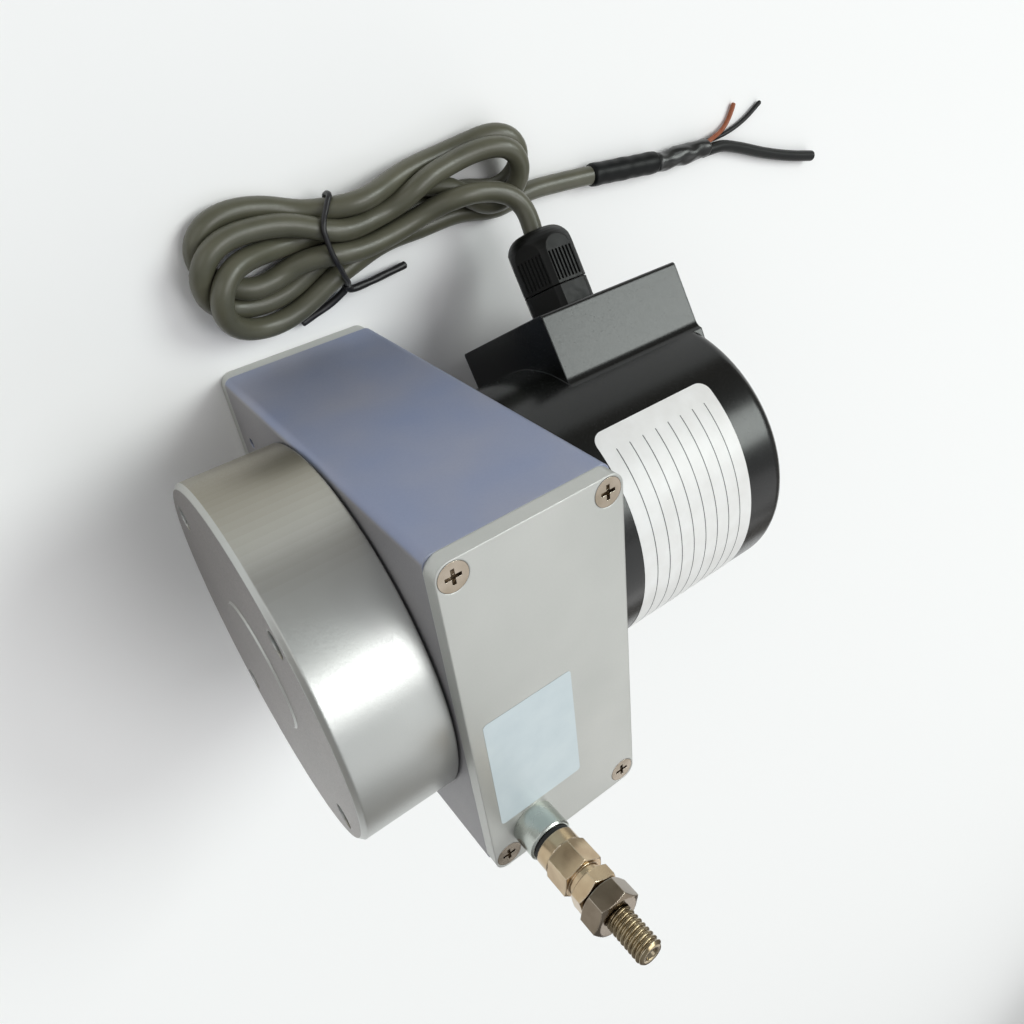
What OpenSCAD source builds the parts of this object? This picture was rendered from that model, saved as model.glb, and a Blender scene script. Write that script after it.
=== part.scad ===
// Draw wire encoder with a spring-driven wire drum and a rotary encoder on the
// same shaft. Millimetres, +Z up. The origin is the centre of the mounting face
// under the base plate. The wire leaves upwards, the shaft runs along X, the
// spring case is on the +X side and the encoder on the -X side.

/* [Housing] */
// Housing size along the shaft
housing_x = 39; // [36:0.5:44]
// Housing width across the shaft
housing_y = 85; // [84:0.5:92]
// Length of the housing between its two end plates
housing_len = 89; // [87:0.5:96]
// Wall of the housing
housing_wall = 3; // [2.5:0.1:3.6]
// Radius on the long edges of the housing
housing_edge_r = 2; // [1:0.1:3]
// Thickness of the base plate and the wire plate
plate_t = 3.5; // [3:0.1:4.5]
// Radius on the corners of the two plates
plate_corner_r = 3; // [1:0.1:3.4]
// Distance of the plate screws from the outer faces
screw_inset = 3.4; // [3.3:0.1:3.9]
// Length of the screw posts in the corners of the housing
post_len = 12; // [9:0.5:14]
// Diameter of the screw posts
post_d = 8; // [7:0.1:9]

/* [Mounting] */
// Spacing of the base holes along X
base_hole_x = 20; // [16:0.5:24]
// Spacing of the base holes along Y
base_hole_y = 56; // [46:0.5:60]
// Tapped core of the M4 base holes
base_hole_d = 3.3; // [3:0.1:4.2]
// Height of the bosses round the base holes inside the housing
base_boss_h = 4.5; // [3:0.1:6]
// Spacing of the side holes along Y
side_hole_y = 57; // [50:0.5:60]
// Height of the side holes above the mounting face
side_hole_z = 10.5; // [8:0.1:12]
// Tapped core of the M3 side holes
side_hole_d = 2.5; // [2:0.1:3.3]

/* [Shaft] */
// Position of the shaft across the housing
shaft_y = -1.2; // [-1.5:0.1:0]
// Height of the shaft above the middle of the housing
shaft_rise = 2.5; // [1:0.1:4]
// Diameter of the shaft
shaft_d = 8; // [6:0.1:9]
// Outer diameter of the ball bearings
bearing_d = 22; // [20:0.5:24]
// Width of the ball bearings
bearing_w = 7; // [6:0.1:8]
// Diameter of the bearing balls
ball_d = 3.9; // [3:0.1:4.2]

/* [Wire and drum] */
// Wire drawn out per turn of the drum
wire_per_turn = 220; // [212:0.5:222]
// Diameter of the draw wire
wire_d = 0.8; // [0.5:0.05:1]
// Distance between neighbouring turns on the drum
wire_pitch = 1.2; // [1.1:0.05:1.3]
// Turns of wire on each side of the lead-off
turns_per_side = 4; // [3:1:4]
// Distance of the wire exit from the middle of the housing along X
wire_x = 9.1; // [8.5:0.1:9.3]
// Thickness of the drum flanges and web
drum_flange_t = 1.2; // [0.8:0.1:1.4]
// Height of the drum flanges above the wire
drum_flange_h = 1.4; // [1:0.1:2]
// Outer diameter of the drum hub
drum_hub_d = 20; // [16:0.5:24]

/* [Spring case] */
// Outer diameter of the spring case
case_d = 82.4; // [80:0.1:82.6]
// Length of the spring case from the housing to its face
case_len = 22; // [20:0.5:28]
// Wall of the spring case
case_wall = 3; // [2:0.1:3.5]
// Chamfer round the face of the spring case
case_chamfer = 1; // [0.4:0.1:1.6]
// Gap between the rim of the spring case and the housing
case_gap = 0.6; // [0.4:0.1:1]
// Diameter of the raised pad in the middle of the face
case_pad_d = 30; // [20:0.5:40]
// Distance of the case screws from the rim of the spring case
case_screw_edge = 5.8; // [5.6:0.1:7]
// Turns of the mainspring
spring_turns = 9; // [5:1:12]
// Thickness of the mainspring band
spring_t = 0.5; // [0.3:0.05:0.7]

/* [Encoder] */
// Outer diameter of the encoder cover
cover_d = 69.3; // [66:0.1:74]
// Distance from the middle of the housing to the end of the encoder
cover_end = 82; // [80:0.5:90]
// Wall of the encoder cover
cover_wall = 3; // [2:0.1:4]
// Radius on the far rim of the encoder cover
cover_rim_r = 4; // [1:0.1:5]
// Thickness of the flange between the housing and the cover
flange_t = 2; // [1.6:0.1:3]
// Width of the cable block
block_w = 42; // [34:0.5:46]
// Length of the cable block along the shaft
block_len = 41; // [30:0.5:44]
// Height of the cable block's top above the shaft
block_top = 44; // [41:0.5:50]
// Fillet along the root of the cable block
block_fillet = 3; // [1:0.1:4]
// Angle of the cable block below the horizontal
block_angle = 30; // [20:1:40]

/* [Cable gland] */
// Diameter of the gland thread
gland_thread_d = 12.4; // [11:0.1:13]
// Width across the flats of the gland hexagons
gland_flats = 16; // [15:0.1:17]
// Height of the gland's fixed hexagon
gland_hex_h = 6; // [4:0.1:8]
// Height of the ribbed part of the gland nut
gland_rib_h = 8; // [6:0.1:10]
// Height of the dome on the gland nut
gland_dome_h = 6.4; // [5:0.1:7]
// Diameter of the cable
cable_d = 5; // [4:0.1:6]

/* [Wire end] */
// Diameter of the wire nozzle
nozzle_d = 10.2; // [9:0.1:12]
// Height of the wire nozzle above the wire plate
nozzle_h = 6.4; // [5:0.1:9]
// Thickness of the rubber stop ring
stop_ring_t = 1; // [0.6:0.1:2]
// Height of the round collar of the wire clamp
clamp_collar_h = 3; // [2:0.1:5]
// Height of the hexagon of the wire clamp
clamp_hex_h = 6; // [4:0.1:8]
// Height of the neck between the clamp and the lock nut
clamp_neck_h = 1.4; // [1:0.1:3]
// Width across the flats of the clamp and the lock nut
clamp_flats = 9; // [8.5:0.1:10]
// Height of the lock nut
lock_nut_h = 3.6; // [2.5:0.1:5]
// Height of the M6 mounting nut
mounting_nut_h = 5; // [4:0.1:6]
// Width across the flats of the M6 mounting nut
mounting_nut_flats = 10; // [10:0.1:11]
// Outer diameter of the M6 stud
stud_d = 5.9; // [5.5:0.1:6]
// Length of stud that stands out of the mounting nut
stud_free = 9; // [6:0.5:16]

/* [Clearances] */
// Gap between pieces that fit into each other
fit_gap = 0.05; // [0.02:0.01:0.1]
// Gap between moving pieces and what they pass
run_gap = 0.4; // [0.3:0.05:0.6]

/* [Hidden] */
$fn = 64;
// How far a cut reaches past the faces that it opens, and how far fused forms overlap
over = 1;
weld = 0.01;

top_z = housing_len + 2 * plate_t;
wire_plate_z = housing_len + plate_t;
shaft_z = top_z / 2 + shaft_rise;
half_x = housing_x / 2;
inner_x = half_x - housing_wall;
inner_y = housing_y / 2 - housing_wall;
screw_x = half_x - screw_inset;
screw_y = housing_y / 2 - screw_inset;

// Machine screws, M3 countersunk and M3 socket head
m3_d = 3;
m3_core_d = 2.5;
m3_csk_d = 6;
m3_csk_h = 1.7;
m3_cap_d = 5.5;
m3_cap_h = 3;
m3_socket_flats = 2.5;
m3_socket_h = 1.5;
m3_clear_d = m3_d + 4 * fit_gap;
m3_tap_d = m3_core_d + 2 * fit_gap;
screw_end_gap = 0.5;
plate_screw_len = 12;
cover_screw_len = 10;
recess_depth = 1.1;
recess_len = 3.2;
recess_w = 0.75;
base_boss_wall = 2.5;
base_boss_d = base_hole_d + 2 * base_boss_wall;

// Drum
lay_r = wire_per_turn / (2 * PI);
drum_r = lay_r - wire_d / 2 - fit_gap;
drum_rim_r = lay_r + wire_d / 2 + drum_flange_h;
winding_w = (2 * turns_per_side + 1) * wire_pitch;
drum_w = winding_w + 2 * drum_flange_t;
drum_x0 = wire_x - drum_w / 2;
drum_x1 = wire_x + drum_w / 2;
drum_hub_len = 6;
drum_hub_x0 = drum_x0 - drum_hub_len;
drum_rim_t = 3;
drum_web_t = 3;
drum_hole_d = 11;
drum_hole_angles = [0 : 60 : 300];
set_screw_d = 3.3;
set_screw_sink = 0.6;
set_screw_len = (drum_hub_d - shaft_d) / 2 - set_screw_sink;
wire_y = shaft_y + lay_r;

// Bearings, each let into the wall of the housing by bearing_inset
bearing_pitch_r = (bearing_d + shaft_d) / 4;
bearing_ring_t = (bearing_d - shaft_d) / 2 * 0.28;
ball_gap = 0.1;
bearing_groove_d = ball_d + 2 * ball_gap;
ball_count = 7;
ball_angles = [for (i = [1 : ball_count]) 360 / ball_count * i];
bearing_inset = 1.4;
bearing_lip = 1;
bearing_lip_t = 1.5;
bearing_hub_wall = 4;
bearing_lip_d = bearing_d - 2 * bearing_lip_t;
bearing_hub_d = bearing_d + 2 * bearing_hub_wall;
bearing_a_x = half_x - bearing_inset;
bearing_b_x = -half_x - bearing_w + bearing_inset;
ring_groove_w = 1;
ring_groove_depth = 0.5;
ring_groove_d = shaft_d - 2 * ring_groove_depth;
ring_slack = 0.1;
retaining_ring_t = 1.8;
retaining_ring_d = shaft_d + 2 * retaining_ring_t;
retaining_ring_slot = 2;

// Spring case
case_r = case_d / 2;
case_screw_r = case_r - case_screw_edge;
case_x0 = half_x + case_gap;
case_x1 = half_x + case_len;
case_base_t = 3;
case_post_wall = 1.5;
case_post_d = m3_cap_d + 2 * case_post_wall;
case_pad_h = 0.4;
case_face_t = 2.6;
case_screw_sink = 4;
case_screw_angles = [45 : 90 : 315];
case_screw_len = case_len - case_screw_sink + housing_wall - screw_end_gap;
arbor_d = 16;
arbor_x0 = bearing_a_x + bearing_w + bearing_lip + run_gap;
arbor_x1 = case_x1 - case_face_t - 2 * run_gap;
spring_r0 = arbor_d / 2 + run_gap;
spring_r1 = case_screw_r - case_post_d / 2 - run_gap;
spring_w = arbor_x1 - arbor_x0 - 2 * run_gap;
spring_steps = 20;

// Encoder
cover_r = cover_d / 2;
cover_x0 = -half_x - flange_t;
cover_bore_r = cover_r - cover_wall;
pilot_r = cover_bore_r - fit_gap;
pilot_len = 5;
pilot_wall = 3;
flange_bore_d = 44;
flange_screw_r = (flange_bore_d / 2 + pilot_r - pilot_wall) / 2;
flange_screw_angles = [45 : 90 : 315];
cover_end_t = 3;
standoff_d = 6;
standoff_neck_d = 4.4;
standoff_r = 25;
standoff_angles = [0, 120, 240];
disc_gap = 18;
disc_x = -half_x - disc_gap;
disc_d = 40;
disc_t = 1.2;
disc_hub_d = 16;
disc_hub_len = 6;
disc_hub_shoulder = 2.5;
disc_hub_spigot_d = disc_hub_d - 2 * disc_hub_shoulder;
board_gap = 7;
board_x = disc_x - board_gap;
board_d = 58;
board_bore_d = shaft_d + 4 * disc_t;
board_t = 1.6;
head_size = 12;
head_gap = 1.5;
head_window = [7, 8];
terminal_ways = 5;
terminal_pitch = 3.5;
terminal_w = 8;
terminal_h = 9;
terminal_drop = 22;
terminal_hole_d = 1.8;
shaft_stub = 3;
shaft_x0 = disc_x - shaft_stub;
shaft_x1 = arbor_x1 + run_gap;
block_x0 = -cover_end;
block_x1 = -cover_end + block_len;
block_wall = 3.5;
block_edge_r = 0.8;

// Gland, along its own axis from the top of the block
gland_x = (block_x0 + block_x1) / 2;
gland_corner_turn = 0.44;
gland_corner_r = gland_flats / 2 / cos(30) - gland_corner_turn;
gland_seal_wall = 1.7;
gland_seal_gap = 0.1;
gland_seal_bore_d = cable_d + 2 * gland_seal_gap;
gland_seal_d = gland_seal_bore_d + 2 * gland_seal_wall;
gland_seal_rise = 4;
gland_seal_end = gland_hex_h + gland_rib_h + gland_seal_rise;
gland_mouth_gap = 0.6;
gland_mouth_d = cable_d + 2 * gland_mouth_gap;
gland_thread_end = 3;
gland_thread_len = block_wall + gland_thread_end;
gland_spigot_d = 11;
gland_spigot_low = 1;
gland_spigot_h = gland_hex_h + gland_rib_h - gland_spigot_low;
gland_nut_h = gland_rib_h + gland_dome_h;
gland_dome_side = 0.72;
gland_seam = 0.3;
rib_pitch = 1.05;
rib_count = 7;
rib_w = 0.5;
rib_depth = 0.45;
rib_foot = 0.8;

// Wire end, heights above the mounting face
seat_gap = 0.15;
nozzle_top = top_z + nozzle_h;
ring_z = nozzle_top + seat_gap;
clamp_z = ring_z + stop_ring_t;
hex_z = clamp_z + clamp_collar_h;
neck_z = hex_z + clamp_hex_h;
lock_z = neck_z + clamp_neck_h;
nut_z = lock_z + lock_nut_h + seat_gap;
stud_seat = 2;
stud_z0 = hex_z + stud_seat;
stud_free_z = nut_z + mounting_nut_h;
stud_z1 = stud_free_z + stud_free;
stud_chamfer = 0.6;
stud_thread_depth = 0.3;
stud_root_d = stud_d - 2 * stud_thread_depth;
collar_d = 9.4;
neck_step = 0.7;
neck_d = clamp_flats - 2 * neck_step;
clamp_bevel = 0.3;
nut_bevel = 0.6;
clamp_turn = 20;
lock_nut_turn = 35;
mounting_nut_turn = 5;
nozzle_thread_d = 8;
nozzle_bore_d = 3.4;
nozzle_chamfer = 0.4;
nozzle_thread_end = 1;
stud_hole_d = 3;
stud_hole_len = 6;
eyelet_bore_d = wire_d + 2 * run_gap;
eyelet_d = 5;
eyelet_h = 2.8;
eyelet_lip_r = 0.7;
eyelet_z = nozzle_top - eyelet_h - seat_gap;
stop_ring_bore_d = eyelet_bore_d + 2 * run_gap;
ferrule_d = 2.4;
ferrule_step = 1;
ferrule_z = clamp_z + ferrule_step;
ferrule_len = stud_z0 - ferrule_z - run_gap;

// Cord routes. The cable leaves the gland, runs over the hank and into it;
// the tail leaves the hank on the surface and ends in the shrink sleeve.
hank_h = 12;
hank_big = [3, -64, 15.5];
hank_waist = [-15, -64, 9.8];
hank_small = [-60, -71, 10.5];
tie_t = 1.2;
tie_w = 1.6;
tie_end_d = 1.8;
tie_slack = 0.2;
tie_ends = [[-31.5, -54.8, 7.5], [-1.5, -46.8, 3]];
tie_knot = [-15, -53.8, 5];
tie_knot_d = 3;
cable_route = [
    [-61.5, -54.2, 19.9], [-61.5, -56.9, 18.3], [-61.3, -60.5, 16.3],
    [-59.8, -64.8, 14.4], [-56.2, -68.6, 12.7], [-50.8, -70.6, 11.2], [-44, -71, 9.4]
];
tail_route = [
    [-66, -63.6, 2.6], [-72, -62.9, 2.6], [-81, -62.1, 2.8], [-90, -61.6, 3.1],
    [-97, -61, 3.2], [-104, -60.4, 3.2]
];
sleeve_start = [-93.5, -61.3, 3.2];
sleeve_end = [-118.4, -59.2, 3.2];
sleeve_d = 6.4;
tail_end = tail_route[len(tail_route) - 1] + [-1, 0.1, 0];
joint_end = [-140.5, -58.4, 2.8];
joint_d = 5.6;
joint_cap = 2;
joint_gap = 0.3;
joint_way = unit(joint_end - sleeve_end);
joint_start = sleeve_end + joint_gap * joint_way;
lead_d = 1.4;
thick_lead_d = 3.4;
orange_route = [
    [-139.5, -59.8, 3.4], [-143, -60.6, 2.6], [-146, -62, 1.3], [-149.4, -64.4, 0.8], [-154, -68.4, 0.8]
];
black_route = [
    [-139.5, -59.8, 1.4], [-144, -59.7, 1.1], [-149.5, -60, 0.8], [-156.5, -61.4, 0.8],
    [-162, -63.8, 0.8], [-166.5, -66.3, 0.8]
];
thick_route = [
    [-139.5, -57.4, 2.8], [-148, -57.2, 2.2], [-157, -54.7, 1.8], [-169, -50.6, 1.8],
    [-182, -46.9, 1.8], [-194, -44.2, 1.8]
];

// ---- Helpers ----

function unit(v) = v / norm(v);
function tangent(p, i) = unit(p[min(i + 1, len(p) - 1)] - p[max(i - 1, 0)]);

// Moves children so that their +Z axis lies along the shaft, starting at x
module on_shaft(x) {
    translate([x, shaft_y, shaft_z])
        rotate([0, 90, 0])
            children();
}

// Places children on a circle round the shaft, with +Z along the shaft
module round_shaft(x, r, angles) {
    for (a = angles)
        translate([x, shaft_y + r * cos(a), shaft_z + r * sin(a)])
            rotate([0, 90, 0])
                children();
}

// Frame of the cable block: +Z points out of the block, X stays along the shaft
module on_block(x, h) {
    translate([0, shaft_y, shaft_z])
        rotate([90 + block_angle, 0, 0])
            translate([x, 0, h])
                children();
}

module tube(od, id, h) {
    difference() {
        cylinder(d = od, h = h);
        bore(id, h);
    }
}

// Cutter that goes right through a piece of height h standing on z = 0
module bore(d, h) {
    translate([0, 0, -over])
        cylinder(d = d, h = h + 2 * over);
}

module rounded_rect(x, y, r) {
    square([x - 2 * r, y], center = true);
    square([x, y - 2 * r], center = true);
    for (sx = [-1, 1], sy = [-1, 1])
        translate([sx * (x / 2 - r), sy * (y / 2 - r)])
            circle(r);
}

module at_corners() {
    for (sx = [-1, 1], sy = [-1, 1])
        translate([sx * screw_x, sy * screw_y, 0])
            children();
}

module at_base_holes() {
    for (sx = [-1, 1], sy = [-1, 1])
        translate([sx * base_hole_x / 2, sy * base_hole_y / 2, 0])
            children();
}

// Hexagon prism with both ends chamfered to a circle
module chamfered_hex(flats, h, bevel) {
    corner_r = flats / 2 / cos(30);
    intersection() {
        cylinder(r = corner_r, h = h, $fn = 6);
        rotate_extrude()
            polygon([
                [0, 0], [corner_r - 2 * bevel, 0], [corner_r, bevel],
                [corner_r, h - bevel], [corner_r - 2 * bevel, h], [0, h]
            ]);
    }
}

// Cross recess cut into the top of a screw head at z = 0
module cross_recess() {
    for (a = [0, 90])
        rotate(a)
            translate([-recess_len / 2, -recess_w / 2, -recess_depth])
                cube([recess_len, recess_w, recess_depth + over]);
}

// Countersunk screw, head flush with z = 0, shank downwards
module csk_screw(length) {
    difference() {
        union() {
            translate([0, 0, -m3_csk_h])
                cylinder(d1 = m3_core_d, d2 = m3_csk_d, h = m3_csk_h);
            translate([0, 0, -length])
                cylinder(d = m3_core_d, h = length - m3_csk_h + weld);
        }
        cross_recess();
    }
}

// Socket head screw with its head seated on z = 0 and its shank downwards
module cap_screw(length) {
    difference() {
        union() {
            cylinder(d = m3_cap_d, h = m3_cap_h);
            translate([0, 0, -length])
                cylinder(d = m3_core_d, h = length + weld);
        }
        translate([0, 0, m3_cap_h - m3_socket_h])
            cylinder(r = m3_socket_flats / 2 / cos(30), h = m3_socket_h + over, $fn = 6);
    }
}

// Clearance hole and countersink for it, from z = 0 downwards
module csk_hole(depth) {
    translate([0, 0, -m3_csk_h])
        cylinder(d1 = m3_core_d + 2 * fit_gap, d2 = m3_csk_d + 4 * fit_gap, h = m3_csk_h);
    cylinder(d = m3_csk_d + 4 * fit_gap, h = over);
    translate([0, 0, -depth - over])
        cylinder(d = m3_core_d + 4 * fit_gap, h = depth + over);
}

// Tube swept along points: one ring of sides per point
module swept_tube(points, d, sides) {
    rings = [
        for (i = [0 : len(points) - 1])
            let (t = tangent(points, i), s = unit(cross(t, [0, 0, 1])), n = cross(s, t))
                for (k = [0 : sides - 1])
                    points[i] + d / 2 * (cos(360 * k / sides) * s + sin(360 * k / sides) * n)
    ];
    last = (len(points) - 1) * sides;
    walls = [
        for (i = [0 : len(points) - 2], k = [0 : sides - 1])
            let (a = i * sides, b = a + sides, m = (k + 1) % sides)
                each [[a + k, b + k, b + m], [a + k, b + m, a + m]]
    ];
    first_cap = [for (k = [0 : sides - 1]) k];
    last_cap = [for (k = [sides - 1 : -1 : 0]) last + k];
    polyhedron(points = rings, faces = concat(walls, [first_cap], [last_cap]), convexity = 4);
}

// Round bar standing on z = 0 with a chamfer round its top
module chamfered_rod(d, h, bevel) {
    rotate_extrude()
        polygon([[0, 0], [d / 2, 0], [d / 2, h - bevel], [d / 2 - bevel, h], [0, h]]);
}

// Cylinder from one point to another
module rod(from, to, d) {
    v = to - from;
    translate(from)
        rotate([0, acos(v[2] / norm(v)), atan2(v[1], v[0])])
            cylinder(d = d, h = norm(v));
}

// ---- Housing ----

module housing() {
    color("#b9bdc6")
        difference() {
            translate([0, 0, plate_t])
                union() {
                    linear_extrude(housing_len)
                        difference() {
                            rounded_rect(housing_x, housing_y, housing_edge_r);
                            square([2 * inner_x, 2 * inner_y], center = true);
                        }
                    for (z = [0, housing_len - post_len])
                        translate([0, 0, z])
                            linear_extrude(post_len)
                                housing_posts();
                }
            at_corners()
                translate([0, 0, plate_t])
                    bore(m3_tap_d, plate_screw_len);
            at_corners()
                translate([0, 0, wire_plate_z - plate_screw_len])
                    bore(m3_tap_d, plate_screw_len);
            on_shaft(inner_x)
                bore(bearing_hub_d + 2 * fit_gap, housing_wall);
            on_shaft(-half_x)
                bore(flange_bore_d + 2 * fit_gap, housing_wall);
            at_case_screws(inner_x)
                bore(m3_tap_d, housing_wall);
            at_flange_screws(-half_x)
                bore(m3_tap_d, housing_wall);
            for (x = [-half_x, inner_x], sy = [-1, 1])
                translate([x, sy * side_hole_y / 2, side_hole_z])
                    rotate([0, 90, 0])
                        bore(side_hole_d, housing_wall);
        }
}

// Corner posts for the plate screws, inside the housing's outline
module housing_posts() {
    intersection() {
        rounded_rect(housing_x, housing_y, housing_edge_r);
        for (sx = [-1, 1], sy = [-1, 1])
            translate([sx * screw_x, sy * screw_y])
                circle(d = post_d);
    }
}

module at_case_screws(x) {
    round_shaft(x, case_screw_r, case_screw_angles)
        children();
}

module at_flange_screws(x) {
    round_shaft(x, flange_screw_r, flange_screw_angles)
        children();
}

module top_plate() {
    color("#c3c6ca")
        difference() {
            translate([0, 0, wire_plate_z])
                linear_extrude(plate_t)
                    rounded_rect(housing_x, housing_y, plate_corner_r);
            translate([0, 0, top_z])
                at_corners()
                    csk_hole(plate_t);
            on_wire(wire_plate_z)
                bore(nozzle_thread_d + 2 * fit_gap, plate_t);
        }
}

module base_plate() {
    color("#b9bdc6")
        difference() {
            union() {
                linear_extrude(plate_t)
                    rounded_rect(housing_x, housing_y, plate_corner_r);
                at_base_holes()
                    cylinder(d = base_boss_d, h = plate_t + base_boss_h);
            }
            mirror([0, 0, 1])
                at_corners()
                    csk_hole(plate_t);
            at_base_holes()
                bore(base_hole_d, plate_t + base_boss_h);
        }
}

module plate_screws() {
    color("#a89c86") {
        translate([0, 0, top_z])
            at_corners()
                csk_screw(plate_screw_len);
        mirror([0, 0, 1])
            at_corners()
                csk_screw(plate_screw_len);
    }
}

// ---- Wire exit ----

// Places children on the line of the wire at a height
module on_wire(z) {
    translate([wire_x, wire_y, z])
        children();
}

module nozzle() {
    thread_z = wire_plate_z - nozzle_thread_end;
    color("#c9ccd0")
        difference() {
            union() {
                on_wire(thread_z)
                    cylinder(d = nozzle_thread_d, h = top_z - thread_z + weld);
                on_wire(top_z)
                    chamfered_rod(nozzle_d, nozzle_h, nozzle_chamfer);
            }
            on_wire(thread_z)
                bore(nozzle_bore_d, nozzle_top - thread_z);
            on_wire(eyelet_z)
                cylinder(d = eyelet_d + 2 * fit_gap, h = nozzle_top - eyelet_z + over);
        }
}

// Ceramic guide ring with a rounded mouth
module nozzle_eyelet() {
    color("#f2efe6")
        on_wire(eyelet_z)
            rotate_extrude()
                difference() {
                    translate([eyelet_bore_d / 2, 0])
                        square([(eyelet_d - eyelet_bore_d) / 2, eyelet_h]);
                    translate([eyelet_bore_d / 2, eyelet_h])
                        circle(eyelet_lip_r);
                }
}

// ---- Spring case ----

module spring_case() {
    color("#c4c6c8")
        difference() {
            union() {
                on_shaft(case_x0)
                    rotate_extrude()
                        polygon([
                            [case_r - case_wall, 0], [case_r, 0],
                            [case_r, case_x1 - case_x0 - case_chamfer],
                            [case_r - case_chamfer, case_x1 - case_x0],
                            [0, case_x1 - case_x0],
                            [0, case_x1 - case_x0 - case_face_t],
                            [case_r - case_wall, case_x1 - case_x0 - case_face_t]
                        ]);
                on_shaft(case_x1 - weld)
                    cylinder(d1 = case_pad_d, d2 = case_pad_d - 2 * case_pad_h, h = case_pad_h);
                at_case_screws(half_x + case_base_t + fit_gap)
                    cylinder(d = case_post_d, h = case_x1 - half_x - case_base_t - case_face_t);
            }
            at_case_screws(half_x)
                bore(m3_clear_d, case_len);
            at_case_screws(case_x1 - case_screw_sink)
                cylinder(d = m3_cap_d + run_gap, h = case_screw_sink + over);
        }
}

module spring_case_base() {
    color("#b4b7bc")
        difference() {
            union() {
                on_shaft(half_x)
                    cylinder(r = case_r - case_wall - 2 * fit_gap, h = case_base_t);
                on_shaft(inner_x)
                    cylinder(d = bearing_hub_d, h = bearing_a_x + bearing_w + bearing_lip - inner_x);
            }
            on_shaft(inner_x - over)
                cylinder(d = bearing_d + 2 * fit_gap, h = bearing_a_x + bearing_w - inner_x + over);
            on_shaft(inner_x)
                cylinder(d = bearing_lip_d, h = case_len);
            at_case_screws(half_x)
                bore(m3_clear_d, case_base_t);
        }
}

module case_screws() {
    color("#55565a")
        at_case_screws(case_x1 - case_screw_sink)
            cap_screw(case_screw_len);
}

// Bush on the shaft with a slot that takes the hooked inner end of the mainspring
module spring_arbor() {
    arbor_len = arbor_x1 - arbor_x0;
    color("#8d8f93")
        on_shaft(arbor_x0)
            difference() {
                tube(arbor_d, shaft_d + 2 * fit_gap, arbor_len);
                translate([(arbor_d + shaft_d) / 4, -spring_t, -over])
                    cube([arbor_d, 2 * spring_t, arbor_len + 2 * over]);
            }
}

// One edge of the spiral band, from the arbor outwards
function spiral(r0, r1, turns) = [
    for (i = [0 : spring_steps * turns])
        let (a = 360 / spring_steps * i, r = r0 + (r1 - r0) * i / (spring_steps * turns))
            [r * cos(a), r * sin(a)]
];

module mainspring() {
    outer = spiral(spring_r0 + spring_t, spring_r1, spring_turns);
    inner = spiral(spring_r0, spring_r1 - spring_t, spring_turns);
    last = len(inner) - 1;
    color("#3f4a66")
        on_shaft(arbor_x0 + run_gap)
            rotate(case_screw_angles[0])
                linear_extrude(spring_w)
                    polygon(concat(outer, [for (i = [last : -1 : 0]) inner[i]]));
}

// ---- Shaft and bearings ----

module drum_shaft() {
    color("#9a9ca0")
        on_shaft(shaft_x0)
            difference() {
                cylinder(d = shaft_d, h = shaft_x1 - shaft_x0);
                for (x = retaining_ring_x())
                    translate([0, 0, x - shaft_x0])
                        tube(shaft_d + over, ring_groove_d, ring_groove_w);
            }
}

// The ring grooves lie just inside the drum-side faces of the two bearings
function retaining_ring_x() = [
    bearing_a_x - ring_groove_w - ring_slack,
    bearing_b_x + bearing_w + ring_slack
];

module retaining_rings() {
    color("#5b5d60")
        for (x = retaining_ring_x())
            on_shaft(x + ring_slack)
                difference() {
                    tube(retaining_ring_d, ring_groove_d + 2 * fit_gap, ring_groove_w - 2 * ring_slack);
                    translate([0, -retaining_ring_slot / 2, -over])
                        cube([shaft_d, retaining_ring_slot, ring_groove_w + 2 * over]);
                }
}

module bearing_outer_rings() {
    color("#a6a8ab")
        for (x = [bearing_a_x, bearing_b_x])
            on_shaft(x)
                rotate_extrude()
                    difference() {
                        translate([bearing_d / 2 - bearing_ring_t, 0])
                            square([bearing_ring_t, bearing_w]);
                        translate([bearing_pitch_r, bearing_w / 2])
                            circle(d = bearing_groove_d);
                    }
}

module bearing_inner_rings() {
    color("#a6a8ab")
        for (x = [bearing_a_x, bearing_b_x])
            on_shaft(x)
                rotate_extrude()
                    difference() {
                        translate([shaft_d / 2 + fit_gap, 0])
                            square([bearing_ring_t - fit_gap, bearing_w]);
                        translate([bearing_pitch_r, bearing_w / 2])
                            circle(d = bearing_groove_d);
                    }
}

module bearing_balls() {
    color("#d5d7da")
        for (x = [bearing_a_x, bearing_b_x])
            round_shaft(x + bearing_w / 2, bearing_pitch_r, ball_angles)
                sphere(d = ball_d, $fn = 32);
}

// ---- Drum ----

module drum() {
    color("#d9d4c4")
        difference() {
            union() {
                on_shaft(drum_hub_x0)
                    cylinder(d = drum_hub_d, h = drum_x1 - drum_hub_x0);
                on_shaft(drum_x0)
                    rotate_extrude()
                        drum_profile();
            }
            on_shaft(drum_hub_x0)
                bore(shaft_d + 2 * fit_gap, drum_x1 - drum_hub_x0);
            round_shaft(drum_x0, (drum_hub_d / 2 + drum_r - drum_rim_t) / 2, drum_hole_angles)
                bore(drum_hole_d, drum_w);
            at_drum_screws()
                cylinder(d = set_screw_d + 2 * fit_gap, h = drum_hub_d);
        }
}

// Half section of the drum from the hub out, along the shaft
module drum_profile() {
    web = drum_w / 2;
    rim_in = drum_r - drum_rim_t;
    root = (drum_hub_d - drum_web_t) / 2;
    polygon([
        [root, web - drum_web_t / 2], [rim_in, web - drum_web_t / 2],
        [rim_in, 0], [drum_rim_r, 0], [drum_rim_r, drum_flange_t], [drum_r, drum_flange_t],
        [drum_r, drum_w - drum_flange_t], [drum_rim_r, drum_w - drum_flange_t],
        [drum_rim_r, drum_w], [rim_in, drum_w], [rim_in, web + drum_web_t / 2],
        [root, web + drum_web_t / 2]
    ]);
}

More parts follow.
